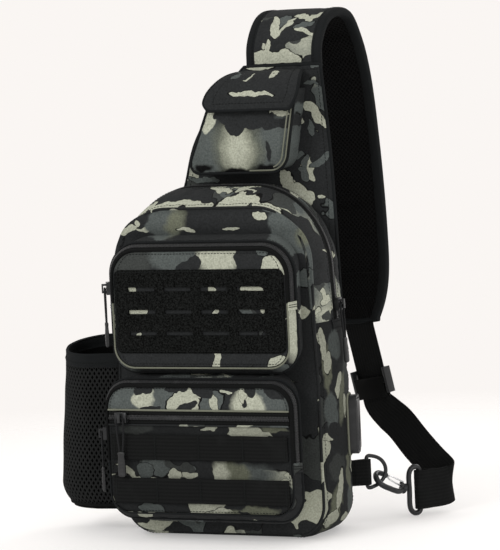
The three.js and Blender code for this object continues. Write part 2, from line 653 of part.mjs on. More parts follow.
// The cloth tab that holds the D-ring's straight bar: a folded loop seen from above, whose
// ends are sewn to the yoke's edge.
function sideTab() {
  const rootX = YOKE.half + GAP;
  const rootY = (YOKE.front + YOKE.back) / 2;
  const shape = new THREE.Shape();
  const reach = D_RING.wire + 2.2;
  const along = Math.atan2(D_RING.y - rootY, D_RING.x - rootX);
  shape.absarc(D_RING.x, D_RING.y, reach, along - 1.9, along + 1.9, false);
  shape.lineTo(rootX, rootY + SIDE_TAB.thick / 2);
  shape.lineTo(rootX, rootY - SIDE_TAB.thick / 2);
  shape.closePath();
  const eye = new THREE.Path();
  eye.absarc(D_RING.x, D_RING.y, D_RING.wire + 0.5, 0, 2 * Math.PI, true);
  shape.holes.push(eye);
  const options = { depth: SIDE_TAB.height, bevelEnabled: false, curveSegments: 7 };
  const geometry = new THREE.ExtrudeGeometry(shape, options);
  return geometry.translate(0, 0, D_RING.z - SIDE_TAB.height / 2);
}
function hookFrame() {
  const { halfHeight: h, reach } = HOOK_BAR;
  const loop = [
    [0, 0], [0, h * 0.5], [0, h - 2.5], [-2.5, h], [-6.5, h], [-9.8, h - 2.5], [-reach, h - 7],
    [-reach, 0], [-reach, 7 - h], [-9.8, 2.5 - h], [-6.5, -h], [-2.5, -h], [0, 2.5 - h],
    [0, -h * 0.5],
  ];
  const geometry = ringBar(ringInPlane(loop), HOOK_BAR.wire, 52);
  return geometry.translate(HOOK_BAR.x, HOOK_BAR.y, HOOK_BAR.z);
}

// The hook in its own axes: X from the swivel to the tip, Y from the spine to the gate.
const SWIVEL = at(HOOK_BAR.x, HOOK_BAR.y, HOOK_BAR.z + 1).addScaledVector(toRing, 13.4);
function hookBody() {
  const { spine, length } = HOOK;
  const bend = Array.from({ length: 7 }, (_, i) => {
    const turn = -Math.PI / 2 + (Math.PI * i) / 6;
    return at(length - spine + spine * Math.cos(turn), spine * Math.sin(turn), 0);
  });
  const tube = rod(
    [at(5, -1, 0), at(8.5, -4.6, 0), at(13, -8, 0), at(19, -spine, 0), at(25, -spine, 0), ...bend,
      at(length - spine - 3, spine - 0.1, 0), at(length - spine - 6, spine - 0.4, 0)],
    HOOK.wire, 34);
  const neck = new THREE.CylinderGeometry(4.6, 5.2, 4, 12).rotateZ(Math.PI / 2).translate(5.6, 0, 0);
  const lug = block(4.5, 9.2, 0, 7.4, -1.5, 1.5);
  return toGeometry(joined([tube, neck, lug]));
}
// A springy wire gate: a narrow loop from the lug to the hook's nose.
function hookGate() {
  const reach = HOOK.length - HOOK.spine - 7.2;
  const points = [
    at(6, 5.6, 2.6), at(14, 6.8, 2.5), at(reach - 2, 8.2, 1.8), at(reach, 8.5, 0),
    at(reach - 2, 8.2, -1.8), at(14, 6.8, -2.5), at(6, 5.6, -2.6),
  ];
  return rod(points, HOOK.gateWire, 20, 6);
}
function hookGroup() {
  const group = new THREE.Group();
  const tip = at(D_RING.x, D_RING.y, HOOK_BAR.z + 20.5).addScaledVector(fromRing, 4.3);
  const along = tip.sub(SWIVEL).normalize();
  const level = fromRing.clone().cross(at(0, 0, 1)).normalize().negate();
  const upright = along.clone().cross(level).normalize();
  const lift = upright.z < 0 ? upright.negate() : upright;
  const tilt = THREE.MathUtils.degToRad(HOOK.tilt);
  const gateSide = lift.clone().multiplyScalar(Math.cos(tilt));
  gateSide.addScaledVector(level, Math.sin(tilt) * (level.y > 0 ? 1 : -1));
  const third = along.clone().cross(gateSide);
  group.applyMatrix4(new THREE.Matrix4().makeBasis(along, gateSide, third));
  group.position.copy(SWIVEL);
  return group;
}

// ---------------------------------------------------------------- sliders and pulls
// A slider in its own axes: X across the zip, Z along it, -Y outwards. The bail stands on top and
// its eye runs across the zip, or along it where the pull hangs sideways.
function slider(turned) {
  const base = toSolid(block(-5, 5, -5, -0.6, -6, 6))
    .subtract(toSolid(block(-2.9, 2.9, -2.7, 1, -7, 7)));
  const bail = block(-1.5, 1.5, -9.4, -4.8, -4.4, 4.4);
  const eye = block(-2, 2, -8, -5.05, -2.6, 2.6);
  if (turned) [bail, eye].forEach((part) => part.rotateY(Math.PI / 2));
  return toGeometry(base.add(toSolid(bail).subtract(toSolid(eye))));
}
// Pull parts hang from the pivot at the origin: the cord's loop first, then the moulded grip.
function pullCord() {
  const low = -PULL.cordLength;
  const half = [
    at(0, 0, 0), at(2.2, 0, -0.05), at(3.4, 0, -1.6), at(3.5, 0, -6), at(3.1, 0, low * 0.55),
    at(1.6, 0, low),
  ];
  const other = half.slice(1).map((p) => at(-p.x, 0, p.z));
  return rod([...other.reverse(), ...half], PULL.cordRadius, 26, 6);
}
function pullGrip() {
  const z = -PULL.cordLength - GAP - PULL.gripLength / 2;
  const shape = roundedRectangle(PULL.gripWidth, PULL.gripLength, 2.5, 0, z);
  return panel(shape, -PULL.gripThick / 2, PULL.gripThick / 2, 3);
}
// Where a pocket's slider rides, and the turn about Z that points it outwards.
function pocketRide(pocket, z) {
  const o = pocketOutline(pocket, BEVEL_MIDDLE);
  const slope = Math.atan2(pocket.face.left - pocket.shoulder.left, pocket.shoulder.y - pocket.face.y);
  return { place: at(o.left, o.y, z), turn: -(Math.PI / 2 - slope) };
}

// ---------------------------------------------------------------- charging port
const usbGroup = () => {
  const group = new THREE.Group();
  group.position.set(bodyOutline(USB.y).right + GAP, USB.y, USB.z);
  group.rotation.z = THREE.MathUtils.degToRad(USB.turn);
  return group;
};
// Port pieces in their own axes: X outwards, Y across, Z up.
function portPlate(width, height, radius, low, high, holes) {
  const shape = roundedRectangle(width, height, radius);
  shape.holes.push(...holes);
  const options = { depth: high - low, bevelEnabled: false, curveSegments: 3 };
  const geometry = new THREE.ExtrudeGeometry(shape, options);
  const stand = new THREE.Matrix4().makeBasis(at(0, 1, 0), at(0, 0, 1), at(1, 0, 0));
  return geometry.applyMatrix4(stand).translate(low, 0, 0);
}

// ---------------------------------------------------------------- assembly
const group = new THREE.Group();
function add(name, geometry, material, parent = group) {
  const mesh = new THREE.Mesh(geometry, material);
  mesh.name = name;
  parent.add(mesh);
  return mesh;
}

function addBody() {
  const zipFront = ZIP.centreY - ZIP.tapeHalf;
  const zipBack = ZIP.centreY + ZIP.tapeHalf;
  add('front_panel', frontPanel(), CAMO);
  add('front_piping', frontPiping(), TRIM);
  const frontRows = [-35.6, -26, -15, zipFront - GAP];
  add('top_gusset_front', archSheet(frontRows, -CLOTH, 0), CAMO);
  add('main_zip_tape', archSheet([zipFront, zipBack], -1.6, 0), TAPE);
  const chainRows = [ZIP.centreY - ZIP.chainHalf, ZIP.centreY + ZIP.chainHalf];
  add('main_zip_chain', archSheet(chainRows, ZIP.chainLow, ZIP.chainHigh), COIL);
  add('top_gusset_rear', archSheet([zipBack + GAP, 24, BODY.back], -CLOTH, 0), CAMO);
  const cradleRows = [-35.6, -28, -14, 0, 14, 28, BODY.back];
  add('bottom_gusset', sheet(bodyCradle, CRADLE, cradleRows, -CLOTH, 0, bodyMiddle), CAMO_PALE);
  add('yoke_panel', panel(yokeShape(0, YOKE.top), YOKE.front, YOKE.back), CAMO);
  const pad = yokeShape(BACK_PAD.inset, BACK_PAD.top);
  add('back_pad', panel(pad, BACK_PAD.front, BACK_PAD.back), BLACK_CLOTH);
}

function addUpperPocket() {
  const { y } = UPPER_POCKET.face;
  add('upper_pocket_gusset', pocketGusset(UPPER_POCKET), CAMO);
  add('upper_pocket_front', panel(outlineShape(inset(UPPER_POCKET.face, 2.9)), y, y + CLOTH), CAMO);
  add('upper_zip_tape', pocketZipTape(UPPER_POCKET), TAPE);
  add('upper_zip_chain', pocketZipChain(UPPER_POCKET), COIL);
  add('upper_pocket_lower_gusset', pocketLowerGusset(UPPER_POCKET), CAMO_PALE);
  add('patch_panel', patchPanel(), HOOK_PILE);
}

function addLowerPocket() {
  const { y, base, top } = LOWER_POCKET.face;
  const zipLow = FRONT_ZIP.z - FRONT_ZIP.tapeHalf;
  const zipHigh = FRONT_ZIP.z + FRONT_ZIP.tapeHalf;
  add('lower_pocket_gusset', pocketGusset(LOWER_POCKET), CAMO);
  const upperFace = faceBand(LOWER_POCKET, zipHigh + GAP, top, y, y + CLOTH);
  add('lower_pocket_upper_face', upperFace, CAMO);
  const lowerFace = faceBand(LOWER_POCKET, base, zipLow - GAP, y, y + CLOTH);
  add('lower_pocket_lower_face', lowerFace, CAMO);
  add('lower_zip_tape', pocketZipTape(LOWER_POCKET), TAPE);
  add('lower_zip_chain', pocketZipChain(LOWER_POCKET), COIL);
  add('lower_pocket_lower_gusset', pocketLowerGusset(LOWER_POCKET), CAMO);
  add('front_zip_tape', faceBand(LOWER_POCKET, zipLow, zipHigh, y, y + 1.6), TAPE);
  const { left, right } = LOWER_POCKET.face;
  const chain = block(left + 6, right - 6, y - ZIP.chainHigh, y - ZIP.chainLow,
    FRONT_ZIP.z - ZIP.chainHalf, FRONT_ZIP.z + ZIP.chainHalf);
  add('front_zip_chain', chain, COIL);
  add('molle_webbing_upper', molleBand(MOLLE.rows[0]), BELT);
  add('molle_webbing_lower', molleBand(MOLLE.rows[1]), BELT);
}

function addBottlePocket() {
  add('bottle_pocket_mesh', bottleWall(0, 1, [0, 0.03, 0.08, 0.15, 0.5, 1], BOTTLE.wall), NET);
  add('bottle_pocket_rim', bottleWall(1, 2, [0.001, 1], BOTTLE.wall + 0.4), BLACK_CLOTH);
  add('bottle_pocket_base', bottleBase(), BLACK_CLOTH);
}

function addPouch() {
  add('phone_pouch_gusset', pouchGusset(), CAMO);
  add('phone_pouch_front', pouchFront(), CAMO);
  add('phone_pouch_flap', pouchFlap(), CAMO);
  const tape = roundedRectangle(FLAP_TAPE.width, FLAP_TAPE.height, 1.5, FLAP_TAPE.x, FLAP_TAPE.z);
  const tapeBack = POUCH.front - GAP;
  add('flap_hook_tape', panel(tape, tapeBack - FLAP_TAPE.thick, tapeBack, 2), HOOK_PILE);
}

function addStrap() {
  add('strap_face', strapMiddle(0.2, STRAP.thick / 2), CAMO);
  add('strap_lining', strapMiddle(-STRAP.thick / 2, -0.2), NET);
  add('strap_binding_left', strapEdge(-1), BLACK_CLOTH);
  add('strap_binding_right', strapEdge(1), BLACK_CLOTH);
  add('strap_webbing', webbing(), BELT);
  const glide = glideGroup();
  group.add(glide);
  add('tri_glide', triGlide(), PLASTIC, glide);
  add('webbing_tail_loop', tailLoop(), BELT, glide);
}

function addSideHardware() {
  add('side_tab', sideTab(), BELT);
  add('d_ring', dRing().translate(D_RING.x, D_RING.y, D_RING.z), BLACK_METAL);
  add('hook_frame', hookFrame(), BLACK_METAL);
  const hook = hookGroup();
  group.add(hook);
  add('hook_body', hookBody(), BLACK_METAL, hook);
  add('hook_gate', hookGate(), STEEL, hook);
}

function addPort() {
  const port = usbGroup();
  group.add(port);
  const { width, height, depth } = USB;
  const [inWidth, inHeight] = [width - 2 * USB.wall, height - 2 * (USB.wall + 1)];
  const opening = roundedRectangle(inWidth, inHeight, 4);
  add('usb_bezel', portPlate(width, height, 7, 0, depth, [opening]), PLASTIC, port);
  const sockets = [roundedRectangle(5, 12.5, 0.5, 0, 6)];
  const socket = portPlate(inWidth - 0.8, inHeight - 0.8, 3.6, 0, 2.1, sockets);
  add('usb_socket', socket, BLACK_METAL, port);
  const cover = portPlate(inWidth - 0.8, inHeight - 1.8, 3.6, depth - USB.cover, depth + 0.8, []);
  add('usb_cover', cover, PLASTIC, port);
}

// `turn` points the slider outwards, `lean` tips it sideways to follow a sloping zip.
function addSlider(name, place, turn, lean = 0, alongX = false) {
  const ride = new THREE.Group();
  ride.position.copy(place);
  ride.rotation.set(0, lean, turn);
  group.add(ride);
  const carriage = add(`${name}_slider`, slider(alongX), BLACK_METAL, ride);
  if (alongX) carriage.rotation.y = Math.PI / 2;
  const pivot = new THREE.Group();
  pivot.position.set(0, -BAIL_OUT, 0);
  ride.add(pivot);
  add(`${name}_pull_cord`, pullCord(), CORD, pivot);
  add(`${name}_pull_grip`, pullGrip(), PLASTIC, pivot);
}

addBody();
addUpperPocket();
addLowerPocket();
addBottlePocket();
addPouch();
addStrap();
addSideHardware();
addPort();
const zipSide = bodyOutline(ZIP.centreY).right;
const mainPlace = at(zipSide * taperAt(SLIDER.main), ZIP.centreY, SLIDER.main);
addSlider('main_zip', mainPlace, Math.PI / 2, -Math.atan(BODY.taper * zipSide));
const upperRide = pocketRide(UPPER_POCKET, SLIDER.upper);
addSlider('upper_zip', upperRide.place, upperRide.turn);
const lowerRide = pocketRide(LOWER_POCKET, SLIDER.lower);
addSlider('lower_zip', lowerRide.place, lowerRide.turn);
const frontPlace = at(SLIDER.frontX, LOWER_POCKET.face.y, FRONT_ZIP.z);
addSlider('front_zip', frontPlace, 0, 0, true);

export default group;
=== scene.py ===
"""A camouflage sling bag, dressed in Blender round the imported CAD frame.

The geometry below is worked out in millimetres, in the frame's own axes (+Z up, front at -Y),
and turned into metres where a mesh is made.
"""
import math
import random

import bmesh
import bpy
from mathutils import Matrix, Vector, noise


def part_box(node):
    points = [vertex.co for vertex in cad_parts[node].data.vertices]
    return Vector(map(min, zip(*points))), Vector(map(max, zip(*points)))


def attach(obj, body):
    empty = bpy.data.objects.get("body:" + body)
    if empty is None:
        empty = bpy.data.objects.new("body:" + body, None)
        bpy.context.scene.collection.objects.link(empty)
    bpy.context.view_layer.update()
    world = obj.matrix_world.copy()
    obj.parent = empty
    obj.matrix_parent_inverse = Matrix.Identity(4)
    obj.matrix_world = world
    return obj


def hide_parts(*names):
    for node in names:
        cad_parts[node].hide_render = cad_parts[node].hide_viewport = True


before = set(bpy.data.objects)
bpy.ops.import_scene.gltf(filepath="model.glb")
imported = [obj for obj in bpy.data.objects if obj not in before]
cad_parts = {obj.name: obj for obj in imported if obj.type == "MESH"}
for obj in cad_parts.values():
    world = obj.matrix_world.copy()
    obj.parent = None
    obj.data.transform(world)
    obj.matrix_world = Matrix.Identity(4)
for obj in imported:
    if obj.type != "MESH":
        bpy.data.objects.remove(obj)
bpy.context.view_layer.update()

scene = bpy.context.scene
MM = 0.001
PI = math.pi


def add_object(name, data):
    obj = bpy.data.objects.new(name, data)
    scene.collection.objects.link(obj)
    return obj


# ---------------------------------------------------------------- camera
def add_camera(azimuth, elevation, roll, place, lens):
    """A camera that looks along +Y at azimuth 0, turned clockwise seen from above."""
    data = bpy.data.cameras.new("camera")
    data.lens = lens
    data.clip_end = 50
    data.dof.use_dof = False
    camera = add_object("camera", data)
    turn = Matrix.Rotation(math.radians(azimuth), 4, "Z")
    tilt = Matrix.Rotation(math.radians(90 - elevation), 4, "X")
    lean = Matrix.Rotation(math.radians(-roll), 4, "Z")
    camera.matrix_world = Matrix.Translation(place) @ turn @ tilt @ lean
    scene.camera = camera


add_camera(azimuth=23.2, elevation=5.3, roll=2.8, place=(1.0692, -2.4420, 0.4942), lens=182.0)


# ---------------------------------------------------------------- driving dimensions
BODY = dict(half=103, bulge=8, front=-38.5, back=36, front_top=315, crown_top=334, crown_y=4,
            back_top=332, front_radius=52, crown_radius=78, low_radius=30, flat=28, foot=3,
            taper=0.00045, taper_from=150)
ZIP_Y, ZIP_HALF, ZIP_END = 4, 7.7, 205
SHOULDER = 0.65
BEVEL = (0.685, 0.985)
UPPER = dict(
    root=dict(y=-38.8, left=-90, right=90, base=164, top=291, low=24, high=30),
    shoulder=dict(y=-60, left=-97, right=94.5, base=161.5, top=286, low=24, high=31),
    face=dict(y=-70, left=-91, right=88.5, base=167, top=279, low=20, high=26),
    end=229)
LOWER = dict(
    root=dict(y=-38.8, left=-88, right=82, base=14, top=160.5, low=22, high=24),
    shoulder=dict(y=-69, left=-103, right=96, base=22, top=157, low=24, high=25),
    face=dict(y=-81, left=-98, right=91, base=29, top=151, low=20, high=21),
    end=79)
FRONT_ZIP_Z, FRONT_ZIP_HALF = 121, 6.5
PATCH = dict(left=-88.5, right=86, base=181, top=260.5, slot_rows=(242, 220.5, 200),
             slot_columns=(-60, -22.6, 14.8, 52.2), slot_width=28, slot_height=3.9)
MOLLE_ROWS, MOLLE_HALF = (92.8, 51.4), 12
POUCH = dict(front=8, base=346, top=425, middle=9.6, half=51.5, lean=0.29, narrowing=0.0023,
             radius=15)
YOKE = dict(front=36.3, half=101, radius=32, top=446)
BOTTLE = dict(root=34.5, bend=-138, depth=37.5, floor=22, low=26.4, front_rim=176, back_rim=187,
              rim=12, swell=46)
STRAP = dict(half=39, edge=9.7, narrow_from=0.8, narrowing=15, skew=0.24, rows=150)


# ---------------------------------------------------------------- small mathematics
def V(x, y, z):
    return Vector((x, y, z))


def mix(a, b, f):
    return a + (b - a) * f


def ladder(first, last, count):
    """count + 1 values at even steps from first to last."""
    return [mix(first, last, i / count) for i in range(count + 1)]


def clamp(x, low=0.0, high=1.0):
    return max(low, min(high, x))


def smooth(f):
    f = clamp(f)
    return f * f * (3 - 2 * f)


def catmull(points, closed, t):
    """A point on a centripetal Catmull-Rom spline, with t from 0 to 1 over equal point steps."""
    n = len(points)
    spans = n if closed else n - 1
    place = t * spans
    k = min(int(place), spans - 1) if not closed else int(place) % n
    f = place - int(place) if closed else place - k
    p1, p2 = points[k], points[(k + 1) % n]
    p0 = points[k - 1] if closed or k > 0 else p1 * 2 - p2
    p3 = points[(k + 2) % n] if closed or k + 2 < n else p2 * 2 - p1
    d1 = max((p2 - p1).length ** 0.5, 1e-4)
    d0 = (p1 - p0).length ** 0.5 or d1
    d2 = (p3 - p2).length ** 0.5 or d1
    m1 = ((p1 - p0) / d0 - (p2 - p0) / (d0 + d1) + (p2 - p1) / d1) * d1
    m2 = ((p2 - p1) / d1 - (p3 - p1) / (d1 + d2) + (p3 - p2) / d2) * d1
    c2 = (p2 - p1) * 3 - m1 * 2 - m2
    c3 = (p1 - p2) * 2 + m1 + m2
    return p1 + m1 * f + c2 * f * f + c3 * f ** 3


def running_lengths(points):
    """How far along a polyline each of its points is."""
    lengths = [0.0]
    for a, b in zip(points, points[1:]):
        lengths.append(lengths[-1] + (b - a).length)
    return lengths


def curve(points, count, closed=False):
    """`count` points, evenly spaced along the spline through `points`."""
    fine = [catmull(points, closed, i / 600) for i in range(600 if closed else 601)]
    return spread(fine, count, closed)


def spread(line, count, closed=False):
    """`count` evenly spaced points on a polyline."""
    path = line + [line[0]] if closed else line
    lengths = running_lengths(path)
    result, k = [], 0
    for i in range(count):
        want = lengths[-1] * i / (count if closed else count - 1)
        while k < len(lengths) - 2 and lengths[k + 1] < want:
            k += 1
        span = lengths[k + 1] - lengths[k] or 1
        result.append(path[k].lerp(path[k + 1], clamp((want - lengths[k]) / span)))
    return result


def even(path, first, last, spacing):
    """Parameters from first to last at which path(parameter) moves on by about `spacing`."""
    steps = 500
    params = ladder(first, last, steps)
    lengths = running_lengths([path(p) for p in params])
    count = max(int(round(lengths[-1] / spacing)), 2)
    result, k = [], 0
    for i in range(count + 1):
        want = lengths[-1] * i / count
        while k < steps - 1 and lengths[k + 1] < want:
            k += 1
        f = clamp((want - lengths[k]) / max(lengths[k + 1] - lengths[k], 1e-9))
        result.append(mix(params[k], params[k + 1], f))
    return result


# ---------------------------------------------------------------- outlines shared with the frame
def outline_point(o, station):
    """A rounded outline in the XZ plane, one station for each side and corner from the base."""
    s = station % 9
    k = int(s)
    f = s - k
    left, right, base, top, low, high = (o[n] for n in ("left", "right", "base", "top", "low", "high"))
    middle = (left + right) / 2

    def line(x0, z0, x1, z1):
        return mix(x0, x1, f), mix(z0, z1, f)

    def arc(x, z, r, quarter):
        turn = (quarter + f) * PI / 2
        return x + r * math.cos(turn), z + r * math.sin(turn)

    return [
        lambda: line(middle, base, right - low, base),
        lambda: arc(right - low, base + low, low, -1),
        lambda: line(right, base + low, right, top - high),
        lambda: arc(right - high, top - high, high, 0),
        lambda: line(right - high, top, left + high, top),
        lambda: arc(left + high, top - high, high, 1),
        lambda: line(left, top - high, left, base + low),
        lambda: arc(left + low, base + low, low, 2),
        lambda: line(left + low, base, middle, base),
    ][k]()


def side_station(o, z):
    """The station at height z on the outline's straight right side."""
    return 2 + (z - o["base"] - o["low"]) / (o["top"] - o["high"] - o["base"] - o["low"])


def inset(o, by):
    return dict(o, left=o["left"] + by, right=o["right"] - by, base=o["base"] + by,
                top=o["top"] - by, low=max(o["low"] - by, 1), high=max(o["high"] - by, 1))


def body_outline(y):
    """The body's outline at depth y. It swells between front and back, and its top is arched."""
    swell = max(1 - (y / 38) ** 2, 0)
    ahead = y < BODY["crown_y"]
    rise = 1 - ((BODY["crown_y"] - y) / (BODY["crown_y"] - BODY["front"])) ** 2 if ahead else 1
    drop = 0 if ahead else ((y - BODY["crown_y"]) / (BODY["back"] - BODY["crown_y"])) ** 2
    half = BODY["half"] + BODY["bulge"] * swell
    past = max(abs(y) - BODY["flat"], 0) / 10
    return dict(
        y=y, left=-half, right=half, base=BODY["foot"] * past ** 2,
        top=mix(BODY["front_top"], BODY["crown_top"], rise)
        - (BODY["crown_top"] - BODY["back_top"]) * drop,
        low=BODY["low_radius"], high=mix(BODY["front_radius"], BODY["crown_radius"], rise))


def taper_at(z):
    """The body's sides close in a little above the pockets."""
    return 1 - BODY["taper"] * max(z - BODY["taper_from"], 0)


def body_point(station, y):
    x, z = outline_point(body_outline(y), station)
    return V(x * taper_at(z), y, z)


def arch(u, y):
    """The side wall over the top, from one end of the main zip to the other."""
    end = side_station(body_outline(y), ZIP_END)
    return body_point(mix(end, 9 - end, u), y)


def cradle(u, y):
    """The side wall from the zip's one end round under the base to its other end."""
    end = side_station(body_outline(y), ZIP_END)
    return body_point(mix(-end, end, u), y)


def pocket_outline(pocket, v):
    """A pocket's outline at v, which is 0 at its root, SHOULDER at its shoulder, 1 at its face."""
    past = v > SHOULDER
    a, b = (pocket["shoulder"], pocket["face"]) if past else (pocket["root"], pocket["shoulder"])
    f = (v - SHOULDER) / (1 - SHOULDER) if past else v / SHOULDER
    return {key: mix(a[key], b[key], f) for key in a}


def pocket_point(pocket, station, v):
    o = pocket_outline(pocket, v)
    x, z = outline_point(o, station)
    return V(x, o["y"], z)


def zip_station(pocket):
    """Where the pocket's zip begins, on its right side. It ends at 9 less that, on its left."""
    return side_station(pocket_outline(pocket, sum(BEVEL) / 2), pocket["end"])


def from_axis(middle_x, middle_z):
    """Which way is out, for a wall that goes round a pocket or the body."""
    return lambda p: V(p.x - middle_x, 0, p.z - middle_z)


def towards(x, y, z):
    way = V(x, y, z)
    return lambda p: way


AHEAD, BEHIND = towards(0, -1, 0), towards(0, 1, 0)


# ---------------------------------------------------------------- materials
class Nodes:
    """A material's node tree, with short ways to add to it."""

    def __init__(self, name, roughness, **fixed):
        self.material = bpy.data.materials.new(name)
        self.material.use_nodes = True
        self.tree = self.material.node_tree
        self.shader = self.tree.nodes["Principled BSDF"]
        self.shader.inputs["Roughness"].default_value = roughness
        for key, value in fixed.items():
            self.shader.inputs[key.replace("_", " ")].default_value = value

    def add(self, kind, links=None, **settings):
        node = self.tree.nodes.new("ShaderNode" + kind)
        for key, value in settings.items():
            if hasattr(node, key):
                setattr(node, key, value)
            else:
                node.inputs[key.replace("_", " ")].default_value = value
        for key, value in (links or {}).items():
            self.feed(node.inputs[key], value)
        return node

    def feed(self, socket, value):
        """Links another node's output to the socket, or sets the socket to a constant."""
        if hasattr(value, "links"):
            self.tree.links.new(value, socket)
        elif socket.type == "RGBA":
            socket.default_value = (*value, 1)
        else:
            socket.default_value = value

    def math(self, operation, a, b):
        return self.add("Math", {0: a, 1: b}, operation=operation).outputs[0]

    def scaled(self, value, by, plus):
        """value * by + plus"""
        return self.add("Math", {0: value, 1: by, 2: plus}, operation="MULTIPLY_ADD").outputs[0]

    def colour(self, factor, a, b):
        """b over a, by factor."""
        return self.add("Mix", {0: factor, 6: a, 7: b}, data_type="RGBA").outputs[2]

    def ramp(self, value, low, high):
        """0 below low and 1 above high."""
        return self.add("MapRange", {"Value": value}, From_Min=low, From_Max=high).outputs[0]

    def noise(self, vector, scale, detail=2.0, output=0):
        return self.add("TexNoise", {"Vector": vector}, Scale=scale, Detail=detail).outputs[output]

    def swayed(self, vector, scale, by):
        """The vector pushed about by coarse noise, up to `by` metres each way."""
        sway = self.noise(vector, scale, output="Color")
        return self.add("VectorMath", {0: sway, 1: (by,) * 3, 2: vector},
                        operation="MULTIPLY_ADD").outputs[0]

    def placed(self, **place):
        """The piece's own coordinates in metres, moved, turned and scaled."""
        here = self.add("TexCoord").outputs["Object"]
        return self.add("Mapping", {"Vector": here}, **place).outputs[0]

    def flat(self, **place):
        """The cloth's own length and width in metres, turned and scaled."""
        here = self.add("TexCoord").outputs["UV"]
        return self.add("Mapping", {"Vector": here}, **place).outputs[0]

    def waves(self, per_metre, across=False):
        """Even ridges over the cloth's own length, or across it."""
        vector = self.flat(Scale=(0, 1, 1) if across else (1, 0, 1))
        node = self.add("TexWave", {"Vector": vector}, wave_type="BANDS", wave_profile="SIN",
                        bands_direction="Y" if across else "X", Scale=per_metre * 2 * PI / 20)
        return node.outputs[1]

    def bump(self, height, distance, strength=1.0, after=None):
        links = {"Height": height}
        if after is not None:
            links["Normal"] = after
        return self.add("Bump", links, Strength=strength, Distance=distance).outputs[0]

    def done(self, colour=None, normal=None, roughness=None):
        for value, socket in ((colour, "Base Color"), (normal, "Normal"), (roughness, "Roughness")):
            if value is not None:
                self.feed(self.shader.inputs[socket], value)
        return self.material


CHARCOAL = (0.0190, 0.0205, 0.0212)
DEEP = (0.0045, 0.0046, 0.0048)
SLATE = (0.074, 0.085, 0.082)
MID = (0.040, 0.044, 0.042)
SAND = (0.350, 0.365, 0.295)
OLIVE = (0.118, 0.126, 0.092)
TONES = {"charcoal": CHARCOAL, "slate": SLATE, "sand": SAND, "mid": MID, "olive": OLIVE,
         "deep": DEEP}


def shade(tone, by):
    return tuple(c * by for c in tone)


def weave(n, pitch=0.9, depth=0.00016):
    """A plain weave: two crossing sets of threads, over the cloth's own length and width."""
    warp = n.waves(1000 / pitch)
    weft = n.waves(1000 / pitch, across=True)
    threads = n.math("MULTIPLY", warp, weft)
    both = n.scaled(n.math("ADD", warp, weft), 0.25, threads)
    return n.bump(both, depth, 0.55), both


def camo(name, offset=(0, 0, 0), turn=0.0, cover=0.6, slivers=0.07, size=1.0, dark=1.0,
         layers=(), sideways=False):
    """Printed cloth. Charcoal covers `cover` of it; the pointed patches left between fade softly
    from slate to sand, and crisp `slivers` of sand lie over both. `dark` scales the whole print.
    `layers` are shapes placed on this panel, each a tone, a softness and ellipses (x, z, half
    width, half height, degrees) in millimetres, or with y for x where the panel faces `sideways`."""
    n = Nodes(name, 0.84, Sheen_Weight=0.01, Sheen_Roughness=0.5, Specular_IOR_Level=0.06)
    place = n.placed(Location=offset, Rotation=(0.2, turn, 0.1), Scale=(size, size, size))
    bent = n.swayed(place, 34, 0.034)

    def overlap(stretch, slant, scale, share, shift):
        """Where two fields are both high, which gives shapes with corners, and their edge."""
        fields = []
        for move in (shift, shift + 0.7):
            here = n.add("Mapping", {"Vector": bent}, Rotation=(0, slant, 0),
                         Scale=(1, 1, stretch), Location=(move, 0, move / 2)).outputs[0]
            fields.append(n.noise(here, scale, 0.7))
        return n.math("MINIMUM", *fields), 0.5 + (0.5 - math.sqrt(share)) * 0.32

    soft = n.noise(bent, 13, 1.0)
    print_ = n.colour(n.ramp(soft, 0.50, 0.63), SLATE, SAND)
    print_ = n.colour(n.ramp(n.noise(bent, 26, 0.6), 0.53, 0.535), print_, MID)
    patches, edge = overlap(1.5, 0.35, 15, 1 - cover, 0.2)
    print_ = n.colour(n.ramp(patches, edge + 0.008, edge + 0.004), print_, DEEP)
    print_ = n.colour(n.ramp(patches, edge + 0.001, edge - 0.002), print_, CHARCOAL)
    marks, edge = overlap(2.4, -0.5, 19, slivers, 0.9)
    print_ = n.colour(n.ramp(marks, edge - 0.006, edge - 0.003), print_, DEEP)
    print_ = n.colour(n.ramp(marks, edge, edge + 0.003), print_, SAND)

    # the placed shapes: each ellipse's edge is made ragged by a few millimetres
    ragged = n.noise(n.placed(), 75, output="Color")
    frayed = n.add("VectorMath", {0: ragged, 1: (0.012,) * 3, 2: n.placed(Location=(-0.006,) * 3)},
                   operation="MULTIPLY_ADD").outputs[0]
    for tone, blur, ellipses in layers:
        nearest = None
        for x, z, width, height, degrees in ellipses:
            angle = math.radians(degrees)
            if sideways:
                place, turned = (0, x * MM, z * MM), (angle, 0, 0)
                spread_ = (1000, width * MM, height * MM)
            else:
                place, turned = (x * MM, 0, z * MM), (0, angle, 0)
                spread_ = (width * MM, 1000, height * MM)
            one = n.add("Mapping", {"Vector": frayed}, vector_type="TEXTURE",
                        Location=place, Rotation=turned, Scale=spread_).outputs[0]
            far = n.add("VectorMath", {0: one}, operation="LENGTH").outputs["Value"]
            nearest = far if nearest is None else n.math("MINIMUM", nearest, far)
        if blur == 0 and tone != "charcoal":
            print_ = n.colour(n.ramp(nearest, 1.12, 1.09), print_, DEEP)
        print_ = n.colour(n.ramp(nearest, 1.02 + blur, 1.0 - blur), print_, TONES[tone])

    normal, threads = weave(n)
    faded, yarn = n.noise(n.placed(), 9, 3.0), n.noise(n.placed(), 620, 3.0)
    # dark darkens the whole print; the side and lower-face panels use it as painted shade
    tint = dark
    for value, by, plus in ((threads, 0.22, 0.86), (faded, 0.34, 0.83), (yarn, 1.2, 0.40)):
        tint = n.math("MULTIPLY", tint, n.scaled(value, by, plus))
    tinted = n.add("VectorMath", {0: print_, 3: tint}, operation="SCALE").outputs[0]
    crumple = n.bump(n.noise(n.placed(), 75, 2.0), 0.0011, 0.30, normal)
    return n.done(tinted, crumple, n.scaled(faded, 0.12, 0.76))


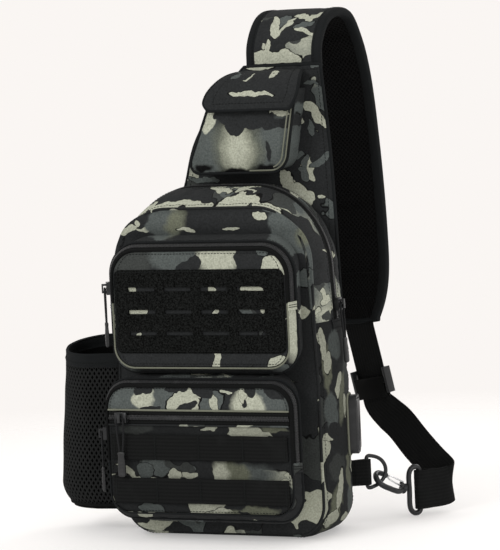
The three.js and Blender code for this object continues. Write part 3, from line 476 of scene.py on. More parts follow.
def plain_cloth(name, tone, pitch=0.9):
    n = Nodes(name, 0.88, Sheen_Weight=0.005, Sheen_Roughness=0.5, Specular_IOR_Level=0.05)
    normal, threads = weave(n, pitch, 0.00020)
    patchy = n.noise(n.placed(), 28, 3.0)
    amount = n.math("MULTIPLY", n.math("ADD", threads, patchy), 0.5)
    colour = n.colour(amount, shade(tone, 0.7), shade(tone, 1.55))
    crumple = n.bump(n.noise(n.placed(), 95, 2.0), 0.0009, 0.25, normal)
    return n.done(colour, crumple)


def webbing_cloth(name, tone):
    """Narrow woven strap: ribs across it, and a finer rib along it."""
    n = Nodes(name, 0.74, Sheen_Weight=0.005, Specular_IOR_Level=0.06)
    ribs = n.waves(1000 / 1.5)
    length = n.waves(1000 / 3.4, across=True)
    weft = n.scaled(length, 0.7, n.math("MULTIPLY", ribs, 0.5))
    colour = n.colour(weft, shade(tone, 0.75), shade(tone, 1.5))
    worn = n.noise(n.placed(), 45, 4.0)
    colour = n.colour(n.ramp(worn, 0.56, 0.78), colour, shade(tone, 1.9))
    return n.done(colour, n.bump(weft, 0.00028, 0.8))


def pile_cloth(name):
    """The loop side of a touch fastener."""
    n = Nodes(name, 0.95, Sheen_Weight=0.0, Specular_IOR_Level=0.02)
    here = n.placed()
    fuzz = n.noise(here, 1500, 3.0)
    tufts = n.noise(here, 620, 4.0)
    both = n.math("MULTIPLY", n.math("ADD", fuzz, tufts), 0.5)
    colour = n.colour(n.ramp(both, 0.42, 0.66), (0.0010, 0.0011, 0.0010), (0.0150, 0.0162, 0.0156))
    return n.done(colour, n.bump(both, 0.0006, 0.7))


def air_mesh(name, lighter=1.0):
    """Spacer mesh: rows of small round holes set corner to corner."""
    n = Nodes(name, 0.92, Sheen_Weight=0.01, Specular_IOR_Level=0.05)
    slanted = n.flat(Scale=(330, 300, 1), Rotation=(0, 0, PI / 4))
    cells = n.add("TexVoronoi", {"Vector": slanted}, Scale=1.0, Randomness=0.08)
    holes = n.ramp(cells.outputs["Distance"], 0.24, 0.46)
    colour = n.colour(holes, (0.0008, 0.0008, 0.0008), (0.0060 * lighter,) * 3)
    patchy = n.noise(n.placed(), 20, 3.0)
    colour = n.colour(n.math("MULTIPLY", patchy, 0.35), colour, (0.0018 * lighter,) * 3)
    return n.done(colour, n.bump(holes, 0.0008, 0.9))


def moulded(name, tone, roughness, metallic=0.0):
    """Moulded plastic or enamelled metal, with a fine grain and rubbed spots."""
    n = Nodes(name, roughness, Metallic=metallic, Specular_IOR_Level=0.34)
    here = n.placed()
    rubbed = n.noise(here, 120, 5.0)
    colour = n.colour(n.ramp(rubbed, 0.52, 0.75), tone, tuple(c * 1.7 + 0.004 for c in tone))
    rough = n.scaled(rubbed, 0.22, roughness - 0.10)
    return n.done(colour, n.bump(n.noise(here, 1600), 0.00006, 0.5), rough)


def cord_cloth(name, tone):
    """Braided cord: crossing diagonal strands."""
    n = Nodes(name, 0.8, Sheen_Weight=0.01, Specular_IOR_Level=0.10)
    strands = [n.add("TexWave", {"Vector": n.flat(Rotation=(0, 0, turn))}, Scale=230).outputs[1]
               for turn in (0.9, -0.9)]
    both = n.math("MAXIMUM", *strands)
    colour = n.colour(both, shade(tone, 0.5), shade(tone, 1.6))
    return n.done(colour, n.bump(both, 0.0003, 0.9))


BLACK = plain_cloth("black_cloth", (0.0045, 0.0048, 0.0048))
BINDING = plain_cloth("charcoal_binding", (0.0088, 0.0098, 0.0103), 0.7)
TAPE = webbing_cloth("zip_tape", (0.0044, 0.0047, 0.0047))
WEBBING = webbing_cloth("webbing", (0.0044, 0.0047, 0.0047))
PILE = pile_cloth("loop_pile")
AIR = air_mesh("air_mesh")
BACK_AIR = air_mesh("back_air_mesh", 2.6)
NET = plain_cloth("net_thread", (0.0125, 0.0132, 0.0132), 0.5)
LINER = plain_cloth("net_liner", (0.0022, 0.0023, 0.0022), 0.5)
COIL = moulded("zip_coil", (0.022, 0.023, 0.024), 0.34)
PLASTIC = moulded("black_plastic", (0.011, 0.012, 0.013), 0.34)
RUBBER = moulded("grip_plastic", (0.009, 0.0095, 0.010), 0.46)
METAL = moulded("black_metal", (0.016, 0.017, 0.018), 0.30, 0.35)
STEEL = moulded("steel_wire", (0.62, 0.63, 0.64), 0.28, 1.0)
CORD = cord_cloth("cord", (0.009, 0.0095, 0.010))
THREAD = plain_cloth("thread", (0.010, 0.011, 0.011), 0.4)
PALE_TRIM = plain_cloth("pale_trim", (0.128, 0.134, 0.104), 0.6)


# ---------------------------------------------------------------- meshes
def make(name, points, faces, material, body="bag", stands_for=None, slot=None, corners=None,
         crease=38):
    """A piece of the object: points in millimetres, and corners as UVs in metres."""
    mesh = bpy.data.meshes.new(name)
    volume = 0.0
    for face in faces:
        a = points[face[0]]
        for b, c in zip(face[1:], face[2:]):
            volume += a.dot(points[b].cross(points[c]))
    if volume < 0:
        faces = [tuple(reversed(face)) for face in faces]
        corners = [tuple(reversed(c)) for c in corners] if corners else None
    mesh.from_pydata([tuple(p * MM) for p in points], [], faces)
    if corners:
        layer = mesh.uv_layers.new(name="UVMap")
        flat = [value for face in corners for uv in face for value in uv]
        layer.data.foreach_set("uv", flat)
    mesh.polygons.foreach_set("use_smooth", [True] * len(mesh.polygons))
    mesh.update()
    mesh.set_sharp_from_angle(angle=math.radians(crease))
    mesh.materials.append(material)
    return settle(add_object(name, mesh), body, stands_for)


def settle(obj, body, stands_for):
    """The piece rides on its body and, where it says so, stands for a CAD node."""
    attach(obj, body)
    if stands_for:
        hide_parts(stands_for)
    return obj


def applied(obj):
    """The piece with its modifiers worked into its mesh."""
    graph = bpy.context.evaluated_depsgraph_get()
    final = bpy.data.meshes.new_from_object(obj.evaluated_get(graph))
    obj.modifiers.clear()
    obj.data = final
    return final


def grid_normals(grid, out, ring=False):
    rows, columns = len(grid), len(grid[0])
    normals = []
    for r in range(rows):
        line = []
        for c in range(columns):
            before = c - 1 if ring or c > 0 else c
            after = (c + 1) % columns if ring else min(c + 1, columns - 1)
            du = grid[r][after] - grid[r][before]
            dv = grid[min(r + 1, rows - 1)][c] - grid[max(r - 1, 0)][c]
            normal = du.cross(dv)
            if normal.length < 1e-9:
                normal = out(grid[r][c]).copy()
            normal.normalize()
            if normal.dot(out(grid[r][c])) < 0:
                normal.negate()
            line.append(normal)
        normals.append(line)
    return normals


def lifted(grid, normals, by):
    """The grid moved along its normals by a number, or by by(row, column)."""
    height = by if callable(by) else (lambda r, c: by)
    return [[p + n * height(r, c) for c, (p, n) in enumerate(zip(line, way))]
            for r, (line, way) in enumerate(zip(grid, normals))]


def shell(name, grid, thick, material, out, ring=False, **how):
    """A closed sheet of cloth whose outer side is `grid`."""
    normals = grid_normals(grid, out, ring)
    inner = lifted(grid, normals, -thick)
    return between(name, grid, inner, material, ring, **how)


def panel(name, grid, thick, material, out, node, ring=False, slot="camo_cloth",
          body="bag"):
    """A padded panel that stands for a CAD node. fill is from 0, slack, to 1, tight."""
    part = shell(name, grid, thick, material, out, ring, stands_for=node, slot=slot, body=body)


def between(name, outer, inner, material, ring=False, **how):
    """The closed solid between two grids, which meet all round unless they are rings."""
    rows, columns = len(outer), len(outer[0])
    points = [p for side in (outer, inner) for line in side for p in line]
    middle = outer[rows // 2]
    us = [d * MM for d in running_lengths(middle + middle[:1])]
    vs = [d * MM for d in running_lengths([line[columns // 2] for line in outer])]
    faces, corners = [], []

    def quad(*places):
        faces.append(tuple((s * rows + r) * columns + c % columns for s, r, c in places))
        corners.append(tuple((us[c], vs[r]) for s, r, c in places))

    spans, last = (columns if ring else columns - 1), rows - 1
    for c in range(spans):
        for r in range(last):
            quad((0, r, c), (0, r, c + 1), (0, r + 1, c + 1), (0, r + 1, c))
            quad((1, r, c), (1, r + 1, c), (1, r + 1, c + 1), (1, r, c + 1))
        quad((0, 0, c + 1), (0, 0, c), (1, 0, c), (1, 0, c + 1))
        quad((0, last, c), (0, last, c + 1), (1, last, c + 1), (1, last, c))
    if not ring:
        for r in range(last):
            quad((0, r, 0), (0, r + 1, 0), (1, r + 1, 0), (1, r, 0))
            quad((0, r + 1, spans), (0, r, spans), (1, r, spans), (1, r + 1, spans))
    return make(name, points, faces, material, corners=corners, **how)


def tube(name, path, radius, material, closed=False, sides=10, **how):
    """A round bar along a path. radius may be a number or radius(fraction)."""
    n = len(path)
    size = radius if callable(radius) else (lambda f: radius)
    tangents = []
    for i in range(n):
        a = path[i - 1] if closed or i > 0 else path[i]
        b = path[(i + 1) % n] if closed or i < n - 1 else path[i]
        tangents.append((b - a).normalized())
    normal = tangents[0].orthogonal().normalized()
    frames = []
    for tangent in tangents:
        normal = (normal - tangent * normal.dot(tangent)).normalized()
        frames.append(normal)
    twist = 0.0
    if closed:
        t = tangents[0]
        back = (frames[-1] - t * frames[-1].dot(t)).normalized()
        twist = math.atan2(back.cross(frames[0]).dot(t), back.dot(frames[0]))
    points, faces, corners = [], [], []
    along = [d * MM for d in running_lengths(path + path[:1])]
    for i in range(n):
        side = tangents[i].cross(frames[i])
        for k in range(sides):
            turn = 2 * PI * k / sides + twist * i / n
            r = size(i / max(n - 1, 1))
            points.append(path[i] + frames[i] * (math.cos(turn) * r) + side * (math.sin(turn) * r))
    for i in range(n if closed else n - 1):
        for k in range(sides):
            j, m = (i + 1) % n, (k + 1) % sides
            faces.append((i * sides + k, i * sides + m, j * sides + m, j * sides + k))
            w = 0.006 / sides
            corners.append(((along[i], k * w), (along[i], (k + 1) * w),
                            (along[i + 1], (k + 1) * w), (along[i + 1], k * w)))
    if not closed:
        for i, way in ((0, -1), (n - 1, 1)):
            tip = len(points)
            points.append(path[i] + tangents[i] * way * size(i / (n - 1)) * 0.55)
            for k in range(sides):
                a, b = i * sides + k, i * sides + (k + 1) % sides
                faces.append((b, a, tip) if way < 0 else (a, b, tip))
                corners.append(((0, 0), (0.001, 0), (0, 0.001)))
    return make(name, points, faces, material, corners=corners, **how)


def many(name, frames_list, section, material, **how):
    """One mesh of many small alike solids. Each frame is (centre, along, across, up)."""
    shape, shape_faces = section
    points, faces = [], []
    for centre, along, across, up in frames_list:
        base = len(points)
        points += [centre + along * a + across * b + up * c for a, b, c in shape]
        faces += [tuple(base + i for i in face) for face in shape_faces]
    return make(name, points, faces, material, crease=60, **how)


def bead(half, radius, flat=1.0, shoulder=0.72):
    """A little six-sided bar with rounded ends, along its first axis."""
    sides = 6
    points = [(-half, 0, 0)]
    for a in (-half * shoulder, half * shoulder):
        for turn in ladder(0, 2 * PI, sides)[:-1]:
            points.append((a, radius * math.cos(turn), radius * flat * math.sin(turn)))
    points.append((half, 0, 0))
    faces = []
    for k in range(sides):
        m = (k + 1) % sides
        faces.append((0, 1 + m, 1 + k))
        faces.append((1 + k, 1 + m, 1 + sides + m, 1 + sides + k))
        faces.append((1 + sides + k, 1 + sides + m, len(points) - 1))
    return points, faces


def along_line(points, normals, spacing, start):
    """(centre, along, across, up) at even steps on a polyline that lies on a surface."""
    result, want, gone = [], start, 0.0
    for i, (a, b) in enumerate(zip(points, points[1:])):
        step = (b - a).length
        while step > 0 and want <= gone + step:
            f = (want - gone) / step
            up = normals[i].lerp(normals[i + 1], f).normalized()
            along = (b - a).normalized()
            up = (up - along * up.dot(along)).normalized()
            result.append((a.lerp(b, f), along, up.cross(along), up))
            want += spacing
        gone += step
    return result


STITCH = bead(1.25, 0.34, 0.62)
STITCH_RISE = 0.13


def stitches(name, points, normals, spacing=3.3, **how):
    places = [(centre + up * STITCH_RISE, along, across, up)
              for centre, along, across, up in along_line(points, normals, spacing, 1.6)]
    many(name, places, STITCH, THREAD, **how)


def teeth(name, points, normals, **how):
    """A coil zip: from each tape in turn, a loop of the coil reaches just past the middle."""
    pitch, aside, rise = 1.5, 1.0, 0.75
    loop = bead(1.55, 0.52, 1.15, shoulder=0.62)
    places = []
    for i, (centre, along, across, up) in enumerate(along_line(points, normals, pitch / 2, 0.5)):
        side = 1 if i % 2 else -1
        places.append((centre + across * (side * aside) + up * rise, across * side, along, up))
    many(name, places, loop, COIL, **how)


# ---------------------------------------------------------------- cloth simulation
DIP, DRIFT, STIFFNESS, CLOTH_STEPS = 0.35, 0.8, 15.0, 18


def near_edge(r, c, rows, columns, ring=False):
    """How many cells a grid place is in from the nearest free edge."""
    return min(r, rows - 1 - r, *(() if ring else (c, columns - 1 - c)))


def inflate(grid, out, cap, ring=False, pressure=4.0, growth=0.012, held=None):
    """A sewn panel blown up like the padded cloth it is. It is held along its edges and where
    held(row, column) says, and grows by `growth`, so that it puckers at the seams. No point moves
    more than about `cap` mm out, DIP mm in or DRIFT mm aside."""
    rows, columns = len(grid), len(grid[0])
    normals = grid_normals(grid, out, ring)

    def is_held(r, c):
        return near_edge(r, c, rows, columns, ring) == 0 or bool(held and held(r, c))

    faces = []
    for r in range(rows - 1):
        for c in range(columns if ring else columns - 1):
            d = (c + 1) % columns
            faces.append((r * columns + c, r * columns + d, (r + 1) * columns + d,
                          (r + 1) * columns + c))
    flat = [p for line in grid for p in line]
    a, b, _, d = (flat[i] for i in faces[len(faces) // 2])
    if (b - a).cross(d - a).dot(out(a)) < 0:
        faces = [tuple(reversed(face)) for face in faces]
    mesh = bpy.data.meshes.new("cloth")
    mesh.from_pydata([tuple(p * MM) for p in flat], [], faces)
    sheet = add_object("cloth", mesh)
    group = sheet.vertex_groups.new(name="sewn")
    group.add([r * columns + c for r in range(rows) for c in range(columns) if is_held(r, c)],
              1.0, "REPLACE")
    cloth = sheet.modifiers.new("cloth", "CLOTH")
    settings = cloth.settings
    settings.vertex_group_mass = "sewn"
    settings.quality = 5
    settings.mass = 0.3
    settings.use_pressure = True
    settings.uniform_pressure_force = pressure
    settings.shrink_min = -growth
    settings.tension_stiffness = settings.compression_stiffness = STIFFNESS
    settings.shear_stiffness = STIFFNESS / 3
    settings.bending_stiffness = 0.4
    settings.effector_weights.gravity = 0
    cloth.collision_settings.use_collision = False
    cloth.point_cache.frame_end = CLOTH_STEPS + 1
    for number in range(1, CLOTH_STEPS + 1):
        scene.frame_set(number)
    graph = bpy.context.evaluated_depsgraph_get()
    result = sheet.evaluated_get(graph).to_mesh()
    moved = [v.co / MM for v in result.vertices]
    sheet.evaluated_get(graph).to_mesh_clear()
    bpy.data.objects.remove(sheet)
    bpy.data.meshes.remove(mesh)
    scene.frame_set(1)

    answer = []
    for r in range(rows):
        line = []
        for c in range(columns):
            shift = moved[r * columns + c] - grid[r][c]
            up = shift.dot(normals[r][c])
            up = cap * math.tanh(up / cap) if up > 0 else DIP * math.tanh(up / DIP)
            aside = shift - normals[r][c] * shift.dot(normals[r][c])
            if aside.length > DRIFT:
                aside = aside.normalized() * DRIFT
            line.append(grid[r][c] + normals[r][c] * up + aside)
        answer.append(line)
    return answer


def ripple(grid, out, depth, size, shift):
    """Slight hollows and rises of slack cloth, none at the edges."""
    rows, columns = len(grid), len(grid[0])

    def by(r, c):
        near = near_edge(r, c, rows, columns)
        return depth * noise.noise(grid[r][c] / size + shift) * smooth(near / 5)
    return lifted(grid, grid_normals(grid, out), by)


def polygon_span(outline, z):
    """The least and greatest x of a closed outline of (x, z) at height z."""
    xs = []
    for (x0, z0), (x1, z1) in zip(outline, outline[1:] + outline[:1]):
        if (z0 - z) * (z1 - z) <= 0 and z0 != z1:
            xs.append(mix(x0, x1, (z - z0) / (z1 - z0)))
    return min(xs), max(xs)


def crowded(f, share):
    """A fraction moved towards its nearer end, so that even steps get closer together there."""
    return mix(f, 0.5 - 0.5 * math.cos(PI * f), share)


def panel_grid(outline, y, across, up, crowd=0.55):
    """Rows and columns over an upright panel with that outline. y may be a number or y(z)."""
    low = min(z for _, z in outline) + 0.02
    high = max(z for _, z in outline) - 0.02
    grid = []
    for t in ladder(0, 1, up):
        z = mix(low, high, crowded(t, crowd))
        depth = y(z) if callable(y) else y
        left, right = polygon_span(outline, z)
        grid.append([V(mix(left, right, crowded(f, 0.35)), depth, z)
                     for f in ladder(0, 1, across)])
    return grid


def outline_list(o, steps=10):
    count = 9 * steps
    return [outline_point(o, 9 * i / count) for i in range(count)]


def border(grid, inset_by):
    """The closed line that runs `inset_by` cells in from the grid's edge, as grid places."""
    rows, columns = len(grid), len(grid[0])
    i, right, top = inset_by, columns - 1 - inset_by, rows - 1 - inset_by
    places = [(i, c) for c in range(i, right)] + [(r, right) for r in range(i, top)]
    places += [(top, c) for c in range(right, i, -1)] + [(r, i) for r in range(top, i - 1, -1)]
    return places


def stitched(name, grid, normals, places, **how):
    """Stitches from one grid place to the next."""
    stitches(name, [grid[r][c] for r, c in places], [normals[r][c] for r, c in places], **how)


def stitched_border(name, grid, out, inset_by):
    stitched(name, grid, grid_normals(grid, out), border(grid, inset_by))


def rounded(node, material, width, segments, body):
    """A CAD node's own mesh with its edges rounded over."""
    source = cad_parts[node]
    mesh = source.data.copy()
    work = bmesh.new()
    work.from_mesh(mesh)
    bmesh.ops.remove_doubles(work, verts=work.verts, dist=1e-6)
    bmesh.ops.dissolve_limit(work, angle_limit=math.radians(1), verts=work.verts,
                             edges=work.edges)
    for face in work.faces:
        face.smooth = True
    work.to_mesh(mesh)
    work.free()
    mesh.materials.clear()
    mesh.materials.append(material)
    obj = add_object(node + "_part", mesh)
    bevel = obj.modifiers.new("edges", "BEVEL")
    bevel.width = width * MM
    bevel.segments = segments
    bevel.limit_method = "ANGLE"
    bevel.angle_limit = math.radians(28)
    applied(obj).set_sharp_from_angle(angle=math.radians(50))
    settle(obj, body, node)


# ---------------------------------------------------------------- printed cloth, panel by panel
CAMO_ARCH = camo("camo_arch", (0.13, 0.05, 0.20), 0.4, cover=0.72, slivers=0.05, layers=[
    ("sand", 0, [(-46, 318, 25, 3.6, -3), (-14, 318, 16, 4.6, 0), (26, 320, 21, 7, -8),
                 (56, 315, 15, 4, 22), (2, 331.5, 14, 3, 10), (36, 331, 8, 1, 0),
                 (-73, 313, 7, 4, -30)]),
])
CAMO_FRONT = camo("camo_front", (0.02, 0, 0.05), 0.0, cover=0.78, slivers=0.03, layers=[
    ("charcoal", 0.1, [(10, 300, 46, 22, 0)]),
    ("slate", 0.06, [(-46, 302, 19, 15, -10), (84, 292, 26, 17, 40), (98, 262, 9, 24, 0)]),
    ("olive", 0.35, [(-34, 303, 9, 12, 20), (98, 290, 8, 12, 40)]),
    ("charcoal", 0, [(90, 262, 10, 9, 0), (96, 232, 12, 12, 0)]),
    ("slate", 0, [(97, 247, 9, 8, 0)]),
    ("sand", 0, [(-85, 296, 9, 3, -18), (-75, 302, 3, 4, 0), (52, 308, 8, 3.6, 10),
                 (-24, 295, 9, 2.2, 4), (24, 296, 9, 1.6, 0)]),
])
# painted shade: dark=0.64 prints the side walls, base and zip end folds darker than the front,
# standing in for the shade they lie in
CAMO_SIDE = camo("camo_side", (0.40, 0.10, 0.00), 1.2, cover=0.80, slivers=0.02, size=0.8,
                 dark=0.64, sideways=True, layers=[
    ("slate", 0.10, [(-8, 182, 11, 14, 20), (-22, 120, 9, 18, 10), (14, 30, 12, 16, 15)]),
    ("mid", 0.10, [(14, 150, 12, 26, -12), (16, 92, 9, 20, 8), (-16, 66, 12, 13, -20)]),
    ("olive", 0.16, [(-24, 160, 6, 22, -8), (0, 128, 7, 24, -16), (8, 58, 7, 20, 12),
                     (-20, 28, 10, 22, -14)]),
    ("sand", 0, [(-28, 184, 5, 15, 8), (-22, 166, 4, 12, -18), (-6, 142, 5, 13, -26),
                 (6, 122, 4, 12, -6), (26, 176, 5, 16, 6), (-28, 96, 7, 5, 0),
                 (-14, 44, 5, 20, -16), (-24, 18, 9, 8, 0), (24, 66, 5, 14, 10),
                 (4, 14, 12, 5, 0), (26, 118, 4, 12, -10)]),
    ("charcoal", 0, [(-18, 100, 8, 10, 30), (2, 80, 7, 9, -20), (-10, 24, 3, 9, 10)]),
])
CAMO_YOKE = camo("camo_yoke", (0.25, 0, 0.33), 2.0, cover=0.86, slivers=0.02, layers=[
    ("slate", 0, [(88, 447, 9, 3, 0), (80, 429, 8, 2, 10), (78, 385, 3, 9, 0),
                  (67, 358, 6, 2.6, -30), (72, 352, 2.6, 8, 20), (86, 354, 11, 3, -35),
                  (70, 341, 3.4, 7, -25), (-38, 338, 16, 3, 0)]),
    ("sand", 0, [(80, 405, 10, 5, 25), (87, 396, 5, 13, -30), (66, 394, 6, 4.4, 0),
                 (52, 333, 7, 14, -12), (60, 324, 11, 9, 20), (71, 318, 6.5, 6, 0),
                 (30, 452, 22, 9, 0), (52, 454, 18, 8, 4), (85, 319, 4, 2, 0)]),
])
CAMO_UPPER = camo("camo_upper", (0.6, 0.1, 0.0), 0.2, cover=0.9, slivers=0.005, layers=[
    ("mid", 0.25, [(-70, 270, 24, 16, 0)]),
    ("slate", 0.14, [(-26, 272, 24, 15, 10)]),
    ("sand", 0.24, [(20, 273, 21, 20, 0)]),
    ("charcoal", 0, [(-4, 267, 8, 6.5, 0), (-16, 262, 10, 4.5, -25), (50, 272, 12, 26, 0)]),
    ("sand", 0, [(76, 266, 16, 7, -28), (84, 262, 10, 7, 0)]),
    ("slate", 0, [(66, 276, 7, 5, 0)]),
    ("sand", 0, [(-70, 242, 4.6, 4, 0), (13, 242, 5, 4, 0), (54, 242, 12, 4, 0),
                 (-65, 220.5, 9, 4, 0), (15, 219, 2.4, 3, 0), (64, 221, 2.6, 2.4, 0),
                 (-66, 199, 3, 1.6, 0), (14, 172, 4, 14, 4), (76, 171, 9, 8, -20)]),
])
CAMO_LOWER = camo("camo_lower", (0.15, 0.0, 0.42), 0.3, cover=0.55, slivers=0.02, size=1.1, layers=[
    ("slate", 0.30, [(-80, 140, 26, 18, 0)]),
    ("sand", 0.08, [(-58, 138, 12, 11, -30)]),
    ("slate", 0.12, [(-38, 138, 12, 16, 20)]),
    ("sand", 0, [(-20, 138, 17, 9, -38), (-8, 143, 9, 7, -20), (-2, 130, 6, 9, 0)]),
    ("slate", 0, [(12, 136, 11, 13, 40)]),
    ("sand", 0, [(13, 137, 4.6, 13, -24), (27, 147, 5, 4, 0)]),
    ("sand", 0.12, [(48, 133, 18, 15, 15)]),
    ("slate", 0.30, [(84, 136, 16, 16, 0)]),
    ("charcoal", 0, [(-58, 149, 10, 7, 0), (-54, 127, 13, 5, -12), (-16, 130, 15, 4.4, -22),
                     (-24, 149, 12, 4, 0), (2, 149, 12, 8, 20), (30, 150, 12, 4, 0),
                     (52, 148, 6, 7, 0), (76, 148, 13, 8, 25), (46, 135, 3, 3.4, 0)]),
    ("sand", 0, [(43, 142, 4.4, 5.6, 0)]),
])
# painted shade: dark=0.60 prints the lower face round the webbing bands darker, standing in for the
# bands' shadow
CAMO_GAP = camo("camo_gap", (0.31, 0.2, 0.1), 0.1, cover=0.88, slivers=0.01, dark=0.60, layers=[
    ("slate", 0.34, [(46, 66, 24, 11, 0)]),
    ("olive", 0.16, [(28, 66, 20, 13, 0)]),
    ("sand", 0.30, [(17, 66, 9, 13, 0)]),
    ("charcoal", 0, [(2, 66, 8, 13, 12)]),
    ("slate", 0, [(-61, 69, 8, 8, 30)]),
    ("sand", 0, [(-31, 66, 7.4, 6.6, 0), (84, 62, 6, 2, -15), (84, 68, 3, 3, 0),
                 (8, 111, 9, 2.2, 0), (12, 30, 17, 4.6, -6)]),
    ("olive", 0.12, [(48, 31, 26, 7, -4), (74, 111, 13, 2.4, 0)]),
    ("slate", 0, [(-56, 33, 15, 6, 12)]),
    ("mid", 0.1, [(-68, 110, 18, 5, 0)]),
    ("charcoal", 0, [(44, 31, 12, 1.8, 22), (14, 26, 8, 2.4, 0)]),
])
CAMO_POUCH = camo("camo_pouch", (0.5, 0.3, 0.2), 0.0, cover=0.62, slivers=0.01, layers=[
    ("slate", 0.30, [(-26, 366, 30, 30, 0), (54, 368, 30, 28, 0)]),
    ("olive", 0.45, [(14, 368, 21, 25, 0)]),
    ("sand", 0.48, [(14, 368, 14, 20, 0)]),
    ("sand", 0.1, [(-14, 396, 6, 11, 25)]),
    ("charcoal", 0, [(24, 405, 36, 16, 2), (12, 390, 9, 9, 20), (56, 396, 22, 9, 0)]),
    ("slate", 0.25, [(66, 404, 12, 5, -20)]),
    ("sand", 0, [(56, 404, 13, 3.4, 16)]),
    ("charcoal", 0, [(48, 410, 20, 4.4, 4)]),
    ("charcoal", 0.1, [(46, 366, 3.4, 10, 0)]),
    # painted shadow: deep ellipses along the pouch's foot, where its bulging bottom is in shade
    ("deep", 0.25, [(4, 345, 22, 5, -4), (44, 347, 14, 6, 0), (-24, 352, 8, 4, 0)]),
])
CAMO_FLAP = camo("camo_flap", (0.9, 0.3, 0.6), 0.3, cover=0.97, slivers=0.001, layers=[
    ("sand", 0, [(33, 421.5, 23, 2.6, 0), (28, 436.5, 7, 1.0, -30), (52, 438, 4.6, 1.7, -6)]),
    ("slate", 0, [(14, 438, 5, 3, 0)]),
])
CAMO_STRAP = camo("camo_strap", (0.7, 0.4, 0.9), 0.5, cover=0.80, slivers=0.05, layers=[
    ("slate", 0, [(46, 488, 9, 5, -20), (70, 484, 10, 3, -10)]),
    ("sand", 0, [(39, 484, 4.4, 11, -14), (50, 482, 12, 1.6, -36), (66, 491, 10, 2.4, 10),
                 (62, 493, 5, 3, 0), (72, 477, 11, 2.4, 18), (35, 465, 2.6, 7, 8),
                 (30, 452, 22, 8.6, 0), (52, 453, 17, 8, 4), (82, 493, 12, 2.2, -10)]),
    ("slate", 0.04, [(50, 388, 18, 12, 24), (96, 374, 8, 26, -10), (62, 332, 17, 20, 30),
                     (97, 288, 9, 22, 12), (50, 268, 10, 22, -20), (88, 230, 18, 10, 18)]),
    ("sand", 0, [(76, 408, 19, 6, -30), (60, 398, 6, 13, 20), (46, 366, 7, 19, 14),
                 (56, 352, 15, 5, -20), (92, 342, 8, 17, -24), (78, 354, 12, 5, 18),
                 (44, 316, 6, 13, -30), (54, 304, 13, 5, 8), (84, 300, 15, 6, 34),
                 (94, 314, 5, 12, 0), (68, 264, 20, 6, -20), (52, 252, 6, 14, 25),
                 (100, 250, 5, 18, 6), (78, 218, 17, 6, -14), (64, 206, 7, 11, 20)]),
    ("charcoal", 0, [(86, 346, 3, 9, -20), (62, 268, 10, 2, -22), (50, 360, 2, 8, 14)]),
])
CAMO_FOLD = camo("camo_fold", (0.45, 0.2, 0.7), 0.3, cover=0.50, slivers=0.06, layers=[
    ("sand", 0.2, [(94, 205, 14, 30, 0)]),
    # painted shade: a charcoal band along the underside of the upper pocket, where it lies in shade
    ("charcoal", 0.1, [(0, 164, 74, 9, 0)]),
])
CAMO_TRIM = camo("camo_trim", (0.2, 0.6, 0.3), 0.7, cover=0.78, slivers=0.08, size=0.9, dark=0.8)


# ---------------------------------------------------------------- the body
def wall_grid(surface, us, vs):
    """Rows of surface(u, v), one row for each v."""
    return [[surface(u, v) for u in us] for v in vs]


def seam(name, path, radius, material, closed=False, **how):
    """Piping, or a folded and bound seam, along a line of the body."""
    count = int(running_lengths(path + path[:1] if closed else path)[-1] / 3.2)
    tube(name, spread(path, count, closed), radius, material, closed=closed, sides=8, **how)


BODY_OUT = from_axis(0, 165)
GUSSET_FRONT, GUSSET_BACK = -37.2, BODY["back"] + 0.2
ZIP_FRONT, ZIP_BACK = ZIP_Y - ZIP_HALF, ZIP_Y + ZIP_HALF


def add_front_panel():
    """Only its arch and margins show round the pockets."""
    outline = outline_list(inset(body_outline(BODY["front"]), 0.4), 16)

    def front_y(z):
        crown = clamp((z - 285) / 14) * clamp((314 - z) / 12)
        foot = clamp((17 - z) / 8) * clamp((z - 1) / 6)
        return BODY["front"] - 3.2 * smooth(crown) - 1.2 * foot

    grid = panel_grid(outline, front_y, 64, 84)
    grid = ripple(grid, AHEAD, 0.7, 30, V(3.0, 5.1, 1.8))
    shell("front_panel_cloth", grid, 2.2, CAMO_FRONT, AHEAD, stands_for="front_panel",
          slot="camo_cloth")
    edge = [body_point(9 * i / 300, BODY["front"] + 0.6) for i in range(300)]
    seam("front_seam_piping", edge, 1.5, CAMO_TRIM, True, stands_for="front_piping",
         slot="piping")


def add_top_gusset():
    """The strips in front of and behind the main zip, and the zip between them."""
    us = even(lambda u: arch(u, ZIP_Y), 0, 1, 4.2)
    grid = wall_grid(arch, us, ladder(GUSSET_FRONT, ZIP_FRONT, 11))
    grid = inflate(grid, BODY_OUT, 3.0, pressure=5, growth=0.016)
    panel("top_gusset_front_cloth", grid, 2.0, CAMO_ARCH, BODY_OUT, "top_gusset_front")
    normals = grid_normals(grid, BODY_OUT)
    stitches("arch_stitches_front", grid[1], normals[1])
    stitches("arch_stitches_zip", grid[-2], normals[-2])

    grid = wall_grid(arch, us, ladder(ZIP_BACK, GUSSET_BACK, 8))
    grid = inflate(grid, BODY_OUT, 2.2, pressure=4, growth=0.012)
    panel("top_gusset_rear_cloth", grid, 2.0, CAMO_ARCH, BODY_OUT, "top_gusset_rear")
    stitches("arch_stitches_rear", grid[1], grid_normals(grid, BODY_OUT)[1])
    add_zip("main_zip", arch, even(lambda u: arch(u, ZIP_Y), 0, 1, 2.6),
            (ZIP_FRONT, ZIP_BACK), BODY_OUT, "main_zip_tape", "main_zip_chain")


def add_side_gusset():
    us = even(lambda u: cradle(u, 0), 0, 1, 5.2)
    grid = wall_grid(cradle, us, ladder(GUSSET_FRONT, GUSSET_BACK, 16))
    grid = inflate(grid, BODY_OUT, 2.4, pressure=3, growth=0.010)
    above_floor = [[V(p.x, p.y, max(p.z, 0.05)) for p in line] for line in grid]
    panel("side_gusset_cloth", above_floor, 2.0, CAMO_SIDE, BODY_OUT, "bottom_gusset",
          slot="camo_cloth_pale")
    normals = grid_normals(grid, BODY_OUT)
    for name, row in (("side_stitches_front", 1), ("side_stitches_rear", -2)):
        stitches(name, grid[row], normals[row])


